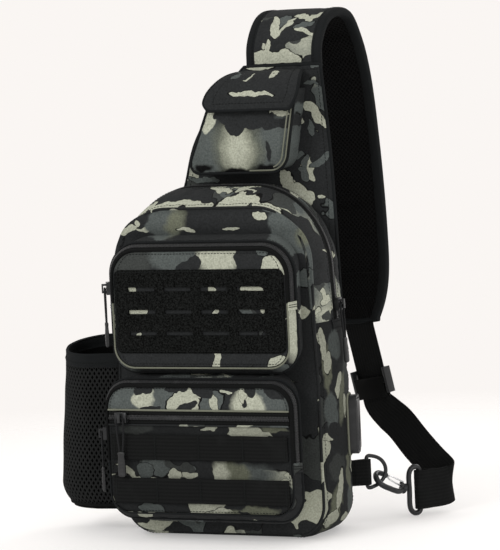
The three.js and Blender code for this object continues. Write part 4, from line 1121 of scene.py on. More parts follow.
def add_zip_end_folds():
    """The folded cloth that covers each end of the main zip."""
    for name, side in (("right", 1), ("left", -1)):
        def fold(u, y, side=side):
            o = body_outline(y)
            z = ZIP_END - 11 + 11.4 * u
            x = outline_point(o, side_station(o, z))[0] * taper_at(z)
            return V(side * (x + 1.5 + 0.9 * math.sin(PI * u)), y, z)

        grid = wall_grid(fold, ladder(0, 1, 10), ladder(ZIP_FRONT - 7, ZIP_BACK + 4, 12))
        way = towards(side, 0, 0)
        shell("zip_end_fold_" + name, grid, 1.3, CAMO_SIDE, way, slot="camo_cloth_pale")
        normals = grid_normals(grid, way)
        for column in (3, 8):
            stitched("zip_fold_stitches_%s_%d" % (name, column), grid, normals,
                     [(r, column) for r in range(len(grid))], spacing=2.8)


def add_zip(name, surface, us, edges, out, tape, chain, ridge=1.0):
    """Both tapes, with a rib beside the coil and a stitched outer edge, and the coil's teeth."""
    low, high = edges
    fractions = [0, 0.06, 0.16, 0.26, 0.34, 0.40, 0.46, 0.5, 0.54, 0.60, 0.66, 0.74, 0.84, 0.94, 1]
    heights = [0, 0.35, 0.35, 0.30, 0.75, 0.95, 0.35, 0.1, 0.35, 0.95, 0.75, 0.30, 0.35, 0.35, 0]
    grid = wall_grid(surface, us, [mix(low, high, f) for f in fractions])
    normals = grid_normals(grid, out)
    shaped = lifted(grid, normals, lambda r, c: (heights[r] - 0.35) * ridge)
    shell(name + "_tapes", shaped, 1.1, TAPE, out, stands_for=tape, slot="zip_tape")
    middle = len(fractions) // 2
    for side, row in (("a", 2), ("b", -3)):
        stitches("%s_stitches_%s" % (name, side), shaped[row], normals[row])
    teeth(name + "_coil", grid[middle], normals[middle], stands_for=chain, slot="zip_coil")


# ---------------------------------------------------------------- yoke, back pad
def bezier(*handles):
    """Ten points of a cubic curve, after its start."""
    result = []
    for t in ladder(0, 1, 10)[1:]:
        weights = ((1 - t) ** 3, 3 * (1 - t) ** 2 * t, 3 * (1 - t) * t * t, t ** 3)
        result.append(tuple(sum(w * p[k] for w, p in zip(weights, handles)) for k in (0, 1)))
    return result


def corner(x, z, r, quarter):
    """A quarter circle round (x, z), from `quarter` quarter turns on."""
    turns = [turn * PI / 2 for turn in ladder(quarter, quarter + 1, 8)]
    return [(x + r * math.cos(turn), z + r * math.sin(turn)) for turn in turns]


def yoke_outline(by, top):
    side, low, foot = YOKE["half"] - by, YOKE["radius"] - by, 2 + by
    line = corner(side - low, foot + low, low, -1)
    line += [(side, 100), (side, 190)]
    line += bezier((side, 190), (99 - by, 260), (99 - by, 330), (95 - by, 383))
    line += [(90 - by, top), (11 + by, top)]
    line += bezier((11 + by, top), (-14 + by, 422), (-32 + by, 398), (-43 + by, 377))
    line += bezier((-43 + by, 377), (-56 + by, 352), (-52 + by, 330), (-70 + by, 311))
    line += bezier((-70 + by, 311), (-88 + by, 292), (-95 + by, 270), (-96 + by, 240))
    line += [(-side, BODY["taper_from"])]
    line += corner(-side + low, foot + low, low, 2)
    return line


def add_yoke():
    hidden_below = 326
    grid = panel_grid(yoke_outline(0.2, YOKE["top"]), YOKE["front"] + 0.4, 40, 96)
    grid = inflate(grid, AHEAD, 1.6, pressure=2, growth=0.006,
                   held=lambda r, c: grid[r][c].z < hidden_below)
    shell("yoke_cloth", grid, 2.2, CAMO_YOKE, AHEAD, stands_for="yoke_panel", slot="camo_cloth")
    edge = [V(x, 37.8, z) for x, z in yoke_outline(0.0, YOKE["top"])]
    seam("yoke_edge_binding", edge, 1.7, BINDING, True, slot="black_cloth")
    stitched_border("yoke_stitches", grid, AHEAD, 2)


def add_back_pad():
    """Spacer mesh, quilted along six curved channels and down the spine."""
    outline = yoke_outline(7, 441)
    grid = panel_grid(outline, 41.2, 56, 118)
    rows, columns = len(grid), len(grid[0])
    channels, channel_half, sag = (62, 128, 194, 258, 318, 376), 2.1, 8

    def off_channel(p, z):
        return abs(p.z - z + sag * math.cos(p.x / 62))

    def quilted(r, c):
        p = grid[r][c]
        spine = c == columns // 2 and channels[0] < p.z < channels[3]
        return spine or any(off_channel(p, z) < channel_half for z in channels)

    puffed = inflate(grid, BEHIND, 4.6, pressure=9, growth=0.03, held=quilted)
    panel("back_pad_cloth", puffed, 1.8, BACK_AIR, BEHIND, "back_pad", slot="air_mesh")
    edge = [V(x, 40.6, z) for x, z in outline]
    seam("back_pad_binding", edge, 1.9, BLACK, True, slot="black_cloth")
    normals = grid_normals(puffed, BEHIND)
    for i, z in enumerate(channels):
        places = [(min(range(rows), key=lambda r: off_channel(grid[r][c], z)), c)
                  for c in range(1, columns - 1)]
        stitched("back_channel_stitches_%d" % i, puffed, normals, places)


# ---------------------------------------------------------------- front pockets
def pocket_walls(name, pocket, gusset_material, lower_material, piping, nodes):
    """Gusset, shoulder piping, zip over the top and the cloth strip under it, face piping."""
    o = pocket["shoulder"]
    middle_x, middle_z = (o["left"] + o["right"]) / 2, (o["base"] + o["top"]) / 2
    out = from_axis(middle_x, middle_z)

    def wall(station, v):
        return pocket_point(pocket, station, v)

    def bevel_out(p):
        return V(p.x - middle_x, -60, p.z - middle_z)

    around = even(lambda u: wall(u, SHOULDER), 0, 9, 4.0)[:-1]
    grid = wall_grid(wall, around, ladder(0.035, 0.66, 8))
    grid = inflate(grid, out, 1.8, ring=True, pressure=3, growth=0.010)
    panel(name + "_gusset_cloth", grid, 1.8, gusset_material, out, nodes["gusset"],
          ring=True)
    normals = grid_normals(grid, out, True)
    stitches(name + "_gusset_stitches", grid[-2] + grid[-2][:1], normals[-2] + normals[-2][:1])

    end = zip_station(pocket)
    for ring_name, v, radius, first, last, material in (
            ("shoulder", 0.672, 1.3, 0, 9, BINDING),
            ("face_upper", 0.995, 1.35, end, 9 - end, BLACK),
            ("face_lower", 0.995, 0.85, -end, end, piping)):
        line = [wall(u, v) for u in ladder(first, last, 400)[:-1]]
        seam("%s_%s_piping" % (name, ring_name), line, radius, material, last == 9,
             slot="piping")

    us = even(lambda u: wall(u, 0.83), end, 9 - end, 2.6)
    add_zip(name + "_zip", wall, us, BEVEL, bevel_out, nodes["tape"], nodes["chain"], ridge=0.727)
    us = even(lambda u: wall(u, 0.83), -end, end, 3.4)
    grid = wall_grid(wall, us, ladder(BEVEL[0] - 0.005, BEVEL[1], 7))
    grid = inflate(grid, bevel_out, 1.3, pressure=3, growth=0.012)
    shell(name + "_lower_strip_cloth", grid, 1.4, lower_material, bevel_out,
          stands_for=nodes["lower"], slot="camo_cloth_pale")
    # the cloth folded over each end of the zip, with its two rows of stitches
    for side, station, way in (("right", end, 1), ("left", 9 - end, -1)):
        span = 13 / (pocket["face"]["top"] - pocket["face"]["base"])
        us = [station - way * span * (1 - f) + way * 0.003 for f in ladder(0, 1, 8)]
        fold = wall_grid(wall, us, ladder(BEVEL[0] - 0.012, BEVEL[1] + 0.010, 8))
        fold = lifted(fold, grid_normals(fold, bevel_out),
                      lambda r, c: 1.15 + 0.5 * math.sin(PI * r / 8))
        shell("%s_zip_fold_%s" % (name, side), fold, 1.1, lower_material, bevel_out,
              slot="camo_cloth_pale")
        ways = grid_normals(fold, bevel_out)
        for column in (3, 5):
            stitched("%s_fold_stitches_%s_%d" % (name, side, column), fold, ways,
                     [(r, column) for r in range(len(fold))], spacing=2.4)


def add_upper_pocket():
    nodes = dict(gusset="upper_pocket_gusset", tape="upper_zip_tape", chain="upper_zip_chain",
                 lower="upper_pocket_lower_gusset")
    pocket_walls("upper_pocket", UPPER, CAMO_FRONT, CAMO_FOLD, PALE_TRIM, nodes)
    face = UPPER["face"]
    outline = outline_list(inset(face, 1.5), 12)
    grid = panel_grid(outline, face["y"] + 0.5, 60, 48)

    def covered(r, c):
        p = grid[r][c]
        return PATCH["left"] < p.x < PATCH["right"] and PATCH["base"] < p.z < PATCH["top"]

    grid = inflate(grid, AHEAD, 2.6, pressure=6, growth=0.018, held=covered)
    panel("upper_pocket_face_cloth", grid, 2.0, CAMO_UPPER, AHEAD, "upper_pocket_front")
    stitched_border("upper_face_stitches", grid, AHEAD, 2)


def add_patch():
    """The touch-fastener panel: a raised pile with three rows of laser-cut slots."""
    left, right, base, top = (PATCH[key] for key in ("left", "right", "base", "top"))
    rows_z, columns_x = PATCH["slot_rows"], PATCH["slot_columns"]
    width, height = PATCH["slot_width"], PATCH["slot_height"]

    radius, cell = 7, 1.25

    def lines(low, high, slots, size):
        """Grid lines about a cell apart, with one on each edge of each slot."""
        marks = sorted([low, high] + [at + side * size / 2 for at in slots for side in (-1, 1)])
        result = []
        for a, b in zip(marks, marks[1:]):
            result += ladder(a, b, max(int(round((b - a) / cell)), 1))[:-1]
        return result + [high]

    xs, zs = lines(left, right, columns_x, width), lines(base, top, rows_z, height)

    def is_slot(x, z):
        return any(abs(x - cx) < width / 2 and abs(z - cz) < height / 2
                   for cx in columns_x for cz in rows_z)

    def rounded_in(x, z):
        cx = clamp(x, left + radius, right - radius)
        cz = clamp(z, base + radius, top - radius)
        far = math.hypot(x - cx, z - cz)
        if far > radius:
            x, z = cx + (x - cx) * radius / far, cz + (z - cz) * radius / far
        return x, z

    rng = random.Random(11)
    front, points = {}, []
    back_y = UPPER["face"]["y"] + 0.3
    for j, z in enumerate(zs):
        for i, x in enumerate(xs):
            px, pz = rounded_in(x, z)
            edge = min(px - left, right - px, pz - base, top - pz)
            pile = 0.32 * rng.random() * clamp(edge / 1.5)
            sink = 0.9 * (1 - smooth(clamp(edge / 2.5)))
            front[i, j] = len(points)
            points.append(V(px, back_y - 1.55 - pile + sink, pz))
            points.append(V(px, back_y, pz))
    faces = []
    cells = {(i, j) for j in range(len(zs) - 1) for i in range(len(xs) - 1)
             if not is_slot((xs[i] + xs[i + 1]) / 2, (zs[j] + zs[j + 1]) / 2)}
    for i, j in sorted(cells):
        ring = [front[i, j], front[i + 1, j], front[i + 1, j + 1], front[i, j + 1]]
        faces.append(tuple(ring))
        faces.append(tuple(k + 1 for k in reversed(ring)))
        for step, a, b in (((0, -1), 0, 1), ((1, 0), 1, 2), ((0, 1), 2, 3), ((-1, 0), 3, 0)):
            if (i + step[0], j + step[1]) not in cells:
                p, q = ring[a], ring[b]
                faces.append((q, p, p + 1, q + 1))
    make("patch_panel_pile", points, faces, PILE, stands_for="patch_panel", slot="loop_panel",
         crease=75)
    # stitched round its edge
    outline = outline_list(dict(left=left + 2, right=right - 2, base=base + 2, top=top - 2, low=5,
                                high=5), 12)
    line = [V(x, back_y - 1.75, z) for x, z in outline + outline[:1]]
    stitches("patch_stitches", line, [V(0, -1, 0)] * len(line), spacing=3.0)


def clipped(outline, low, high):
    """The outline's stretch between two heights."""
    result = []
    for (x0, z0), (x1, z1) in zip(outline, outline[1:] + outline[:1]):
        cuts = sorted(t for t in ((low - z0) / (z1 - z0 or 1e-9), (high - z0) / (z1 - z0 or 1e-9))
                      if 0 < t < 1)
        for t in [0] + cuts:
            x, z = mix(x0, x1, t), mix(z0, z1, t)
            if low - 1e-6 <= z <= high + 1e-6:
                result.append((x, z))
    return result


def add_lower_pocket():
    nodes = dict(gusset="lower_pocket_gusset", tape="lower_zip_tape", chain="lower_zip_chain",
                 lower="lower_pocket_lower_gusset")
    pocket_walls("lower_pocket", LOWER, CAMO_FRONT, CAMO_TRIM, BINDING, nodes)
    face = LOWER["face"]
    outline = outline_list(inset(face, 1.5), 14)
    low_z, high_z = FRONT_ZIP_Z - FRONT_ZIP_HALF, FRONT_ZIP_Z + FRONT_ZIP_HALF

    grid = panel_grid(clipped(outline, high_z, 400), face["y"] + 0.5, 60, 18, 0.3)
    grid = inflate(grid, AHEAD, 2.2, pressure=8, growth=0.02)
    panel("lower_upper_face_cloth", grid, 2.0, CAMO_LOWER, AHEAD, "lower_pocket_upper_face")
    stitched_border("lower_upper_face_stitches", grid, AHEAD, 1)

    grid = panel_grid(clipped(outline, 0, low_z), face["y"] + 0.5, 60, 44, 0.45)
    covered = lambda r, c: any(abs(grid[r][c].z - z) < MOLLE_HALF for z in MOLLE_ROWS)
    grid = inflate(grid, AHEAD, 1.4, pressure=6, growth=0.014, held=covered)
    panel("lower_lower_face_cloth", grid, 2.0, CAMO_GAP, AHEAD, "lower_pocket_lower_face")
    stitched_border("lower_lower_face_stitches", grid, AHEAD, 1)

    # the straight zip across the face, with piping above and below it
    spans = [polygon_span(outline, z) for z in (low_z, high_z)]
    left, right = max(s[0] for s in spans), min(s[1] for s in spans)
    add_zip("front_zip", lambda u, v: V(u, face["y"] + 0.2, v),
            ladder(left + 0.3, right - 0.3, 70), (low_z - 0.2, high_z + 0.2), AHEAD,
            "front_zip_tape", "front_zip_chain")
    for name, z, material in (("above", high_z + 0.6, PALE_TRIM),
                              ("below", low_z - 0.6, CAMO_TRIM)):
        line = [V(x, face["y"] - 0.4, z) for x in ladder(left, right, 60)]
        tube("front_zip_edge_" + name, line, 0.95, material, sides=8, slot="piping")
    for name, z in zip(("upper", "lower"), MOLLE_ROWS):
        add_molle(name, z)


def add_molle(name, z):
    """Load webbing, tacked down at even steps and standing a little proud between the tacks."""
    left, right, tacks, half = -94, 87, 5, MOLLE_HALF
    spans = tacks - 1
    back = LOWER["face"]["y"] + 0.2
    grid = []
    for a in (-half, 0.4 - half, -8, -4, 0, 4, 8, half - 0.4, half):
        line = []
        for f in ladder(0, 1, spans * 14):
            lift = 1.5 * math.sin(PI * (f * spans % 1)) ** 0.8 if 0 < f < 1 else 0
            droop = 0.35 * noise.noise(V(f * 9, z, a / 10))
            edge = -0.35 if abs(a) == half else 0
            line.append(V(mix(left, right, f), back - 1.5 - lift - droop - edge, z + a))
        grid.append(line)
    shell("molle_%s_band" % name, grid, 1.3, WEBBING, AHEAD, slot="webbing",
          stands_for="molle_webbing_" + name)
    # a zigzag of thread at each tack, the outer two drawn in from the band's ends
    places = []
    for k in range(tacks):
        x = mix(left, right, k / spans) + (3 if k == 0 else -3 if k == spans else 0)
        for i, up in enumerate(ladder(z - half + 1, z + half - 1, 25)):
            along = V(1, 0, 0.5 if i % 2 else -0.5).normalized()
            places.append((V(x, back - 1.85, up), along, V(0, -1, 0).cross(along), V(0, -1, 0)))
    many("molle_%s_tacks" % name, places, bead(1.5, 0.42, 0.7), THREAD, slot="webbing")


# ---------------------------------------------------------------- bottle pocket
def bottle_rim(y):
    return mix(BOTTLE["front_rim"], BOTTLE["back_rim"], (y + BOTTLE["depth"]) / (2 * BOTTLE["depth"]))


def bottle_point(u, z):
    """u runs from the front root round the outside to the rear root."""
    tuck = max((BOTTLE["swell"] - z) / 24, 0) ** 2
    reach = -187 + max(z - BOTTLE["swell"], 0) * 0.1 + 13 * tuck
    depth = BOTTLE["depth"] - 9 * tuck
    straight = 0.2
    if u < straight or u > 1 - straight:
        f = min(u, 1 - u) / straight
        at = BOTTLE["root"] - 9 * tuck
        y = mix(at, depth, f)
        root = body_outline(at)["left"] * taper_at(z) - 1
        return V(mix(root, BOTTLE["bend"], f), -y if u < 0.5 else y, z)
    turn = PI * (u - straight) / (1 - 2 * straight)
    return V(BOTTLE["bend"] + (reach - BOTTLE["bend"]) * math.sin(turn), -depth * math.cos(turn), z)


def bottle_wall(u, v):
    """v runs 0 to 1 up the net, and on to 2 up the elastic rim."""
    top = bottle_rim(bottle_point(u, 100).y)
    if v <= 1:
        z = mix(BOTTLE["low"], top - BOTTLE["rim"], v)
    else:
        z = top - BOTTLE["rim"] * (2 - v)
    return bottle_point(u, z)


def bottle_out(p):
    return V(p.x + 138, p.y, 0)


def add_net():
    """A diamond lattice of knitted strands, with a real hole in each cell."""
    us = even(lambda u: bottle_wall(u, 0.6), 0, 1, 1.0)
    girth, tall, pitch, strand = len(us) - 1, 138.0, 4.6, 0.40
    across, up = int(girth / pitch), int(tall / (pitch * 0.80))
    points, faces, corners = [], [], {}

    def place(a, b):
        """A point on the wall: a cells round and b cells up."""
        f, v = clamp(a / across) * girth, clamp(b / up)
        k = min(int(f), girth - 1)
        p = bottle_wall(mix(us[k], us[k + 1], f - k), v)
        slack = 1.2 * noise.noise(p / 34) * smooth(min(v, 1 - v) * 8)
        return p + bottle_out(p).normalized() * slack

    def corner_of(i, j, dx=0.0, dz=0.0):
        """The first knot of cell (i, j), or a point that many cells off it."""
        key = (i, j, dx, dz)
        if key not in corners:
            corners[key] = len(points)
            points.append(place(i + (0.5 if j % 2 else 0.0) + dx, j + 1 + dz))
        return corners[key]

    reach_x, reach_z = 0.5 - strand * 0.58, 1.0 - strand * 1.1
    hole_at = ((0.5 - reach_x, 0), (0.5, -reach_z), (0.5 + reach_x, 0), (0.5, reach_z))
    for j in range(up - 1):
        for i in range(across - 1):
            left, right = corner_of(i, j), corner_of(i + 1, j)
            below, above = corner_of(i + j % 2, j - 1), corner_of(i + j % 2, j + 1)
            ring = [left, below, right, above]
            hole = [corner_of(i, j, *off) for off in hole_at]
            for k in range(4):
                m = (k + 1) % 4
                faces.append((ring[k], ring[m], hole[m], hole[k]))
    mesh = bpy.data.meshes.new("bottle_net")
    mesh.from_pydata([tuple(p * MM) for p in points], [], faces)
    work = bmesh.new()
    work.from_mesh(mesh)
    bmesh.ops.recalc_face_normals(work, faces=work.faces)
    work.to_mesh(mesh)
    work.free()
    for polygon in mesh.polygons:
        polygon.use_smooth = True
    mesh.materials.append(NET)
    net = add_object("bottle_net", mesh)
    thick = net.modifiers.new("thickness", "SOLIDIFY")
    thick.thickness = 1.0 * MM
    thick.offset = 0
    applied(net)
    settle(net, "bag", "bottle_pocket_mesh")


def add_bottle_pocket():
    us = even(lambda u: bottle_wall(u, 1.5), 0, 1, 3.0)
    # a fine dark liner just behind the net
    grid = wall_grid(bottle_wall, us, ladder(0, 1, 30))
    grid = lifted(grid, grid_normals(grid, bottle_out),
                  lambda r, c: -1.7 + 1.2 * noise.noise(grid[r][c] / 34) * smooth(min(r, 30 - r) / 4))
    shell("bottle_net_liner", grid, 0.5, LINER, bottle_out, slot="net")
    grid = wall_grid(bottle_wall, us, ladder(0.985, 2.0, 8))
    bulge = [0.25, 0.8, 0.9, 0.7, 0.6, 0.6, 0.75, 0.9, 0.2]
    grid = lifted(grid, grid_normals(grid, bottle_out),
                  lambda r, c: bulge[r] + 0.35 * noise.noise(grid[r][c] / 14))
    shell("bottle_rim_elastic", grid, 2.2, BINDING, bottle_out, stands_for="bottle_pocket_rim",
          slot="elastic")
    stitches("bottle_rim_stitches", grid[2], grid_normals(grid, bottle_out)[2])
    # binding round the foot and down both side seams
    foot = [bottle_wall(u, 0.0) for u in us]
    tube("bottle_foot_binding", spread(foot, 90), 1.7, BLACK, sides=8, slot="black_cloth")
    for name, u in (("front", 0.0), ("rear", 1.0)):
        line = [bottle_wall(u, v) + V(-0.6, 0, 0) for v in ladder(0, 2, 40)]
        tube("bottle_seam_" + name, line, 1.6, BLACK, sides=8, slot="black_cloth")
    # the base: a cloth disc that closes the pocket
    ring = [bottle_point(u, BOTTLE["floor"] + 2.5) for u in us]
    outline = [(p.x, p.y) for p in ring]
    outline += [(-105.5, y) for y in (24, 12, 0, -12, -24)]
    swapped = panel_grid(outline, 0, 20, 20, 0.3)
    low = [[V(p.x, p.z, BOTTLE["floor"] + 0.8 * (1 - (2 * r / 20 - 1) ** 2)) for p in line]
           for r, line in enumerate(swapped)]
    high = [[V(p.x, p.y, BOTTLE["low"] + 0.1) for p in line] for line in low]
    between("bottle_base_cloth", low, high, BLACK, stands_for="bottle_pocket_base",
            slot="black_cloth")


# ---------------------------------------------------------------- pouch and flap
def pouch_x(x, z):
    rise = z - POUCH["base"]
    narrow = 1 - POUCH["narrowing"] * rise
    return POUCH["middle"] + (x - POUCH["middle"]) * narrow + POUCH["lean"] * rise


POUCH_OUTLINE = dict(left=POUCH["middle"] - POUCH["half"], right=POUCH["middle"] + POUCH["half"],
                     base=POUCH["base"], top=POUCH["top"], low=POUCH["radius"], high=1)


def add_pouch():
    out = lambda p: V(p.x - pouch_x(POUCH["middle"], p.z), 0, p.z - 392)

    def wall(u, y):
        x, z = outline_point(POUCH_OUTLINE, u)
        return V(pouch_x(x, z), y, z)

    us = even(lambda u: wall(u, 20), -3, 3, 3.4)
    grid = wall_grid(wall, us, ladder(10.4, 36.2, 9))
    grid = inflate(grid, out, 2.2, pressure=5, growth=0.016)
    panel("pouch_gusset_cloth", grid, 1.8, CAMO_POUCH, out, "phone_pouch_gusset")

    outline = outline_list(inset(POUCH_OUTLINE, 0.8), 12)
    flat = panel_grid(outline, POUCH["front"] + 0.6, 36, 34)
    grid = [[V(pouch_x(p.x, p.z), p.y, p.z) for p in line] for line in flat]
    under_flap = lambda r, c: grid[r][c].z > 406
    grid = inflate(grid, AHEAD, 5.2, pressure=12, growth=0.035, held=under_flap)
    panel("pouch_face_cloth", grid, 2.0, CAMO_POUCH, AHEAD, "phone_pouch_front")
    for name, by, radius, material, first in (("outer", -0.6, 1.3, BINDING, -3.4),
                                              ("inner", 1.4, 0.8, PALE_TRIM, 0.4),
                                              ("middle", 4.2, 0.7, PALE_TRIM, 1.2)):
        line = []
        for u in ladder(first, 3.4, 159):
            x, z = outline_point(inset(POUCH_OUTLINE, by), u)
            z = min(z, 424)
            line.append(V(pouch_x(x, z), 8.6 - max(by, 0) * 0.9, z))
        tube("pouch_%s_piping" % name, spread(line, 110), radius, material, sides=8,
             slot="piping")

    tape = [[V(x, 7.5 - 1.2 * (0.4 if z in (406.5, 421.5) else 1), z) for x in ladder(8, 54, 16)]
            for z in ladder(406.5, 421.5, 6)]
    shell("flap_fastener_pile", tape, 1.0, PILE, AHEAD, stands_for="flap_hook_tape",
          slot="loop_panel")


FLAP_PROFILE = [(34.4, 441, 12, 72), (24, 440.4, 7, 76), (12, 437, 0, 79), (4, 430.5, -7, 80.5),
                (0.5, 422, -14, 80), (0, 413, -17.5, 76), (0.6, 406, -13, 71)]


def add_flap():
    """The pouch's cover, from its hinge over the pouch's front, with a rolled, stitched edge."""
    centre = [V(0, y, z) for y, z, _, _ in FLAP_PROFILE]
    left = [V(a, 0, i) for i, (_, _, a, _) in enumerate(FLAP_PROFILE)]
    right = [V(b, 0, i) for i, (_, _, _, b) in enumerate(FLAP_PROFILE)]
    rows, columns, hem = 26, 36, 4
    grid = []
    for t in ladder(0, 1, rows):
        p = catmull(centre, False, t)
        a, b = catmull(left, False, t).x, catmull(right, False, t).x
        grid.append([V(x, p.y, p.z) for x in ladder(a, b, columns)])
    out = towards(0, -1, 1.2)

    def hemmed(r, c):
        if r == rows - hem:
            return hem <= c <= columns - hem
        return r < rows - hem and c in (hem, columns - hem)

    grid = lifted(grid, grid_normals(grid, out), 0.9)
    grid = inflate(grid, out, 2.2, pressure=8, growth=0.02, held=hemmed)
    panel("flap_cloth", grid, 1.9, CAMO_FLAP, out, "phone_pouch_flap", body="pouch_flap")
    normals = grid_normals(grid, out)
    shell("flap_lining", lifted(grid, normals, -1.92), 0.5, BLACK, out, body="pouch_flap",
          slot="black_cloth")
    edge = [(r, 0) for r in range(rows)] + [(rows, c) for c in range(columns)]
    edge += [(r, columns) for r in range(rows, -1, -1)]
    line = [grid[r][c] - normals[r][c] * 1.2 for r, c in edge]
    tube("flap_edge_binding", spread(line, 120), 1.75, BINDING, sides=10, body="pouch_flap",
         slot="black_cloth")
    inner = [(r, hem) for r in range(1, rows - 3)]
    inner += [(rows - hem, c) for c in range(hem, columns - 3)]
    inner += [(r, columns - hem) for r in range(rows - hem, 0, -1)]
    stitched("flap_stitches", grid, normals, inner, body="pouch_flap")


# ---------------------------------------------------------------- shoulder strap
STRAP_LINE = [V(*p) for p in (
    (50.5, 43.4, 446.4), (50.5, 46, 466), (52.5, 62, 487.5), (55, 85, 495), (57.5, 112, 489.5),
    (60, 130, 466), (63, 140, 434), (66.5, 147, 374), (70, 150, 304), (72.5, 149, 239),
    (74, 148.6, 196), (74.5, 148.9, 187))]


def strap_frames():
    """Down the strap: a place, the ways across and out of it, and its half width there."""
    count = STRAP["rows"]
    line = curve(STRAP_LINE, count)
    frames_list = []
    for i, p in enumerate(line):
        f = i / (count - 1)
        along = (line[min(i + 1, count - 1)] - line[max(i - 1, 0)]).normalized()
        across = V(1, -STRAP["skew"] * max(f - 0.5, 0), 0).normalized()
        across = (across - along * across.dot(along)).normalized()
        taper = max((f - STRAP["narrow_from"]) / (1 - STRAP["narrow_from"]), 0)
        half = STRAP["half"] - STRAP["narrowing"] * taper ** 3
        frames_list.append((p, across, across.cross(along), half))
    return frames_list


def strap_grid(columns, edge, height):
    """A grid over one side of the strap, `edge` mm in from its edges and crowded there."""
    steps = [crowded(f, 0.5) for f in ladder(0, 1, columns)]
    return [[p + across * mix(edge - half, half - edge, f) + out * height for f in steps]
            for p, across, out, half in strap_frames()]


def add_strap():
    last, edge, height = STRAP["rows"] - 1, STRAP["edge"] - 0.6, 3.3
    frames_list = strap_frames()
    nearest = {}

    def out_of(sign):
        def out(p):
            key = (round(p.x, 3), round(p.y, 3), round(p.z, 3))
            if key not in nearest:
                nearest[key] = min(frames_list, key=lambda f: (f[0] - p).length_squared)[2]
            return nearest[key] * sign
        return out

    face_out, lining_out = out_of(1), out_of(-1)
    grid = strap_grid(16, edge, height)
    puffed = inflate(grid, face_out, 2.0, pressure=7, growth=0.014)
    panel("strap_face_cloth", puffed, 2.0, CAMO_STRAP, face_out, "strap_face")

    grid = strap_grid(20, edge, -height)
    seams = (0.885, 0.945)
    held = lambda r, c: any(abs(r / last - s) < 0.0042 for s in seams)
    puffed = inflate(grid, lining_out, 2.2, pressure=8, growth=0.016, held=held)
    panel("strap_lining_cloth", puffed, 2.0, AIR, lining_out, "strap_lining", slot="air_mesh")
    normals = grid_normals(puffed, lining_out)
    for i, s in enumerate(seams):
        r = int(round(s * last))
        stitches("strap_cross_stitches_%d" % i, puffed[r], normals[r])


def add_strap_bindings():
    """Flat bands folded round each edge, stitched on both sides."""
    frames_list = strap_frames()
    turns = ladder(-PI / 2, PI / 2, 14)
    section = [(-9.6, -3.3), (-6.5, -4.3), (-4.2, -4.5)]
    section += [(2.2 * math.cos(turn) - 2.3, 4.3 * math.sin(turn)) for turn in turns]
    section += [(-4.2, 4.5), (-6.5, 4.3), (-9.6, 3.3)]
    for name, side in (("left", -1), ("right", 1)):
        rows = []
        for p, across, out, half in frames_list:
            rows.append([p + across * (side * (half + a)) + out * b for a, b in section])
        inner = []
        for (p, across, out, half), row in zip(frames_list, rows):
            centre = p + across * (side * (half - 5))
            inner.append([mix(q, centre, 0.28) for q in row])
        between("strap_%s_binding" % name, rows, inner, BINDING,
                stands_for="strap_binding_" + name, slot="black_cloth")
        for face_name, height in (("face", 4.35), ("lining", -4.35)):
            line = [p + across * (side * (half - 7.2)) + out * height
                    for p, across, out, half in frames_list]
            normals = [out * (1 if height > 0 else -1) for _, _, out, _ in frames_list]
            stitches("strap_%s_%s_stitches" % (name, face_name), line, normals)

    # across its wide end, on the yoke, and its narrow one, on the webbing
    p, across, out, half = frames_list[0]
    line = [p + across * (x * (half - 1.6)) - V(0, 0, 1.6) for x in ladder(-1, 1, 24)]
    tube("strap_root_binding", line, 5.0, BINDING, sides=16, slot="black_cloth")
    p, across, out, half = frames_list[-1]
    along = out.cross(across).normalized()
    if along.z > 0:
        along = -along
    line = [p + across * (x * (half - 1.0)) + along * (0.6 - 1.5 * x * x) for x in ladder(-1, 1, 24)]
    tube("strap_end_binding", line, 3.9, BINDING, sides=14, slot="black_cloth")


# ---------------------------------------------------------------- webbing and its hardware
WEB_ROOT = V(74.5, 148.9, 188.5)
WEB_TOP, GLIDE_AT = V(75.2, 149.1, 181.5), V(87, 150, 124)
WEB_DOWN = (GLIDE_AT - WEB_TOP).normalized()
WEB_ACROSS = V(0.92, -0.38, 0.19).normalized()
BAR_AT = V(152, 93, 26)
RING_AT = V(115, 48, 50)
FROM_RING = V(BAR_AT.x - RING_AT.x, BAR_AT.y - RING_AT.y, 0).normalized()


LOOP_OUT, LOOP_SIDE = V(0.725, 0.689, 0), V(-0.689, 0.725, 0)


def webbing_loop():
    """The webbing's way round the hook frame's bar and back."""
    place = lambda a, b: BAR_AT + LOOP_OUT * a + LOOP_SIDE * b
    turns = ladder(-PI / 2, -3 * PI / 2, 6)
    around = [place(4.2 * math.cos(t), 4.2 * math.sin(t)) for t in turns]
    return [place(20, -1.1), place(13, -2), place(6, -3.9)] + around + [
        place(6, 3.9), place(13, 2), place(19, 1.2)]


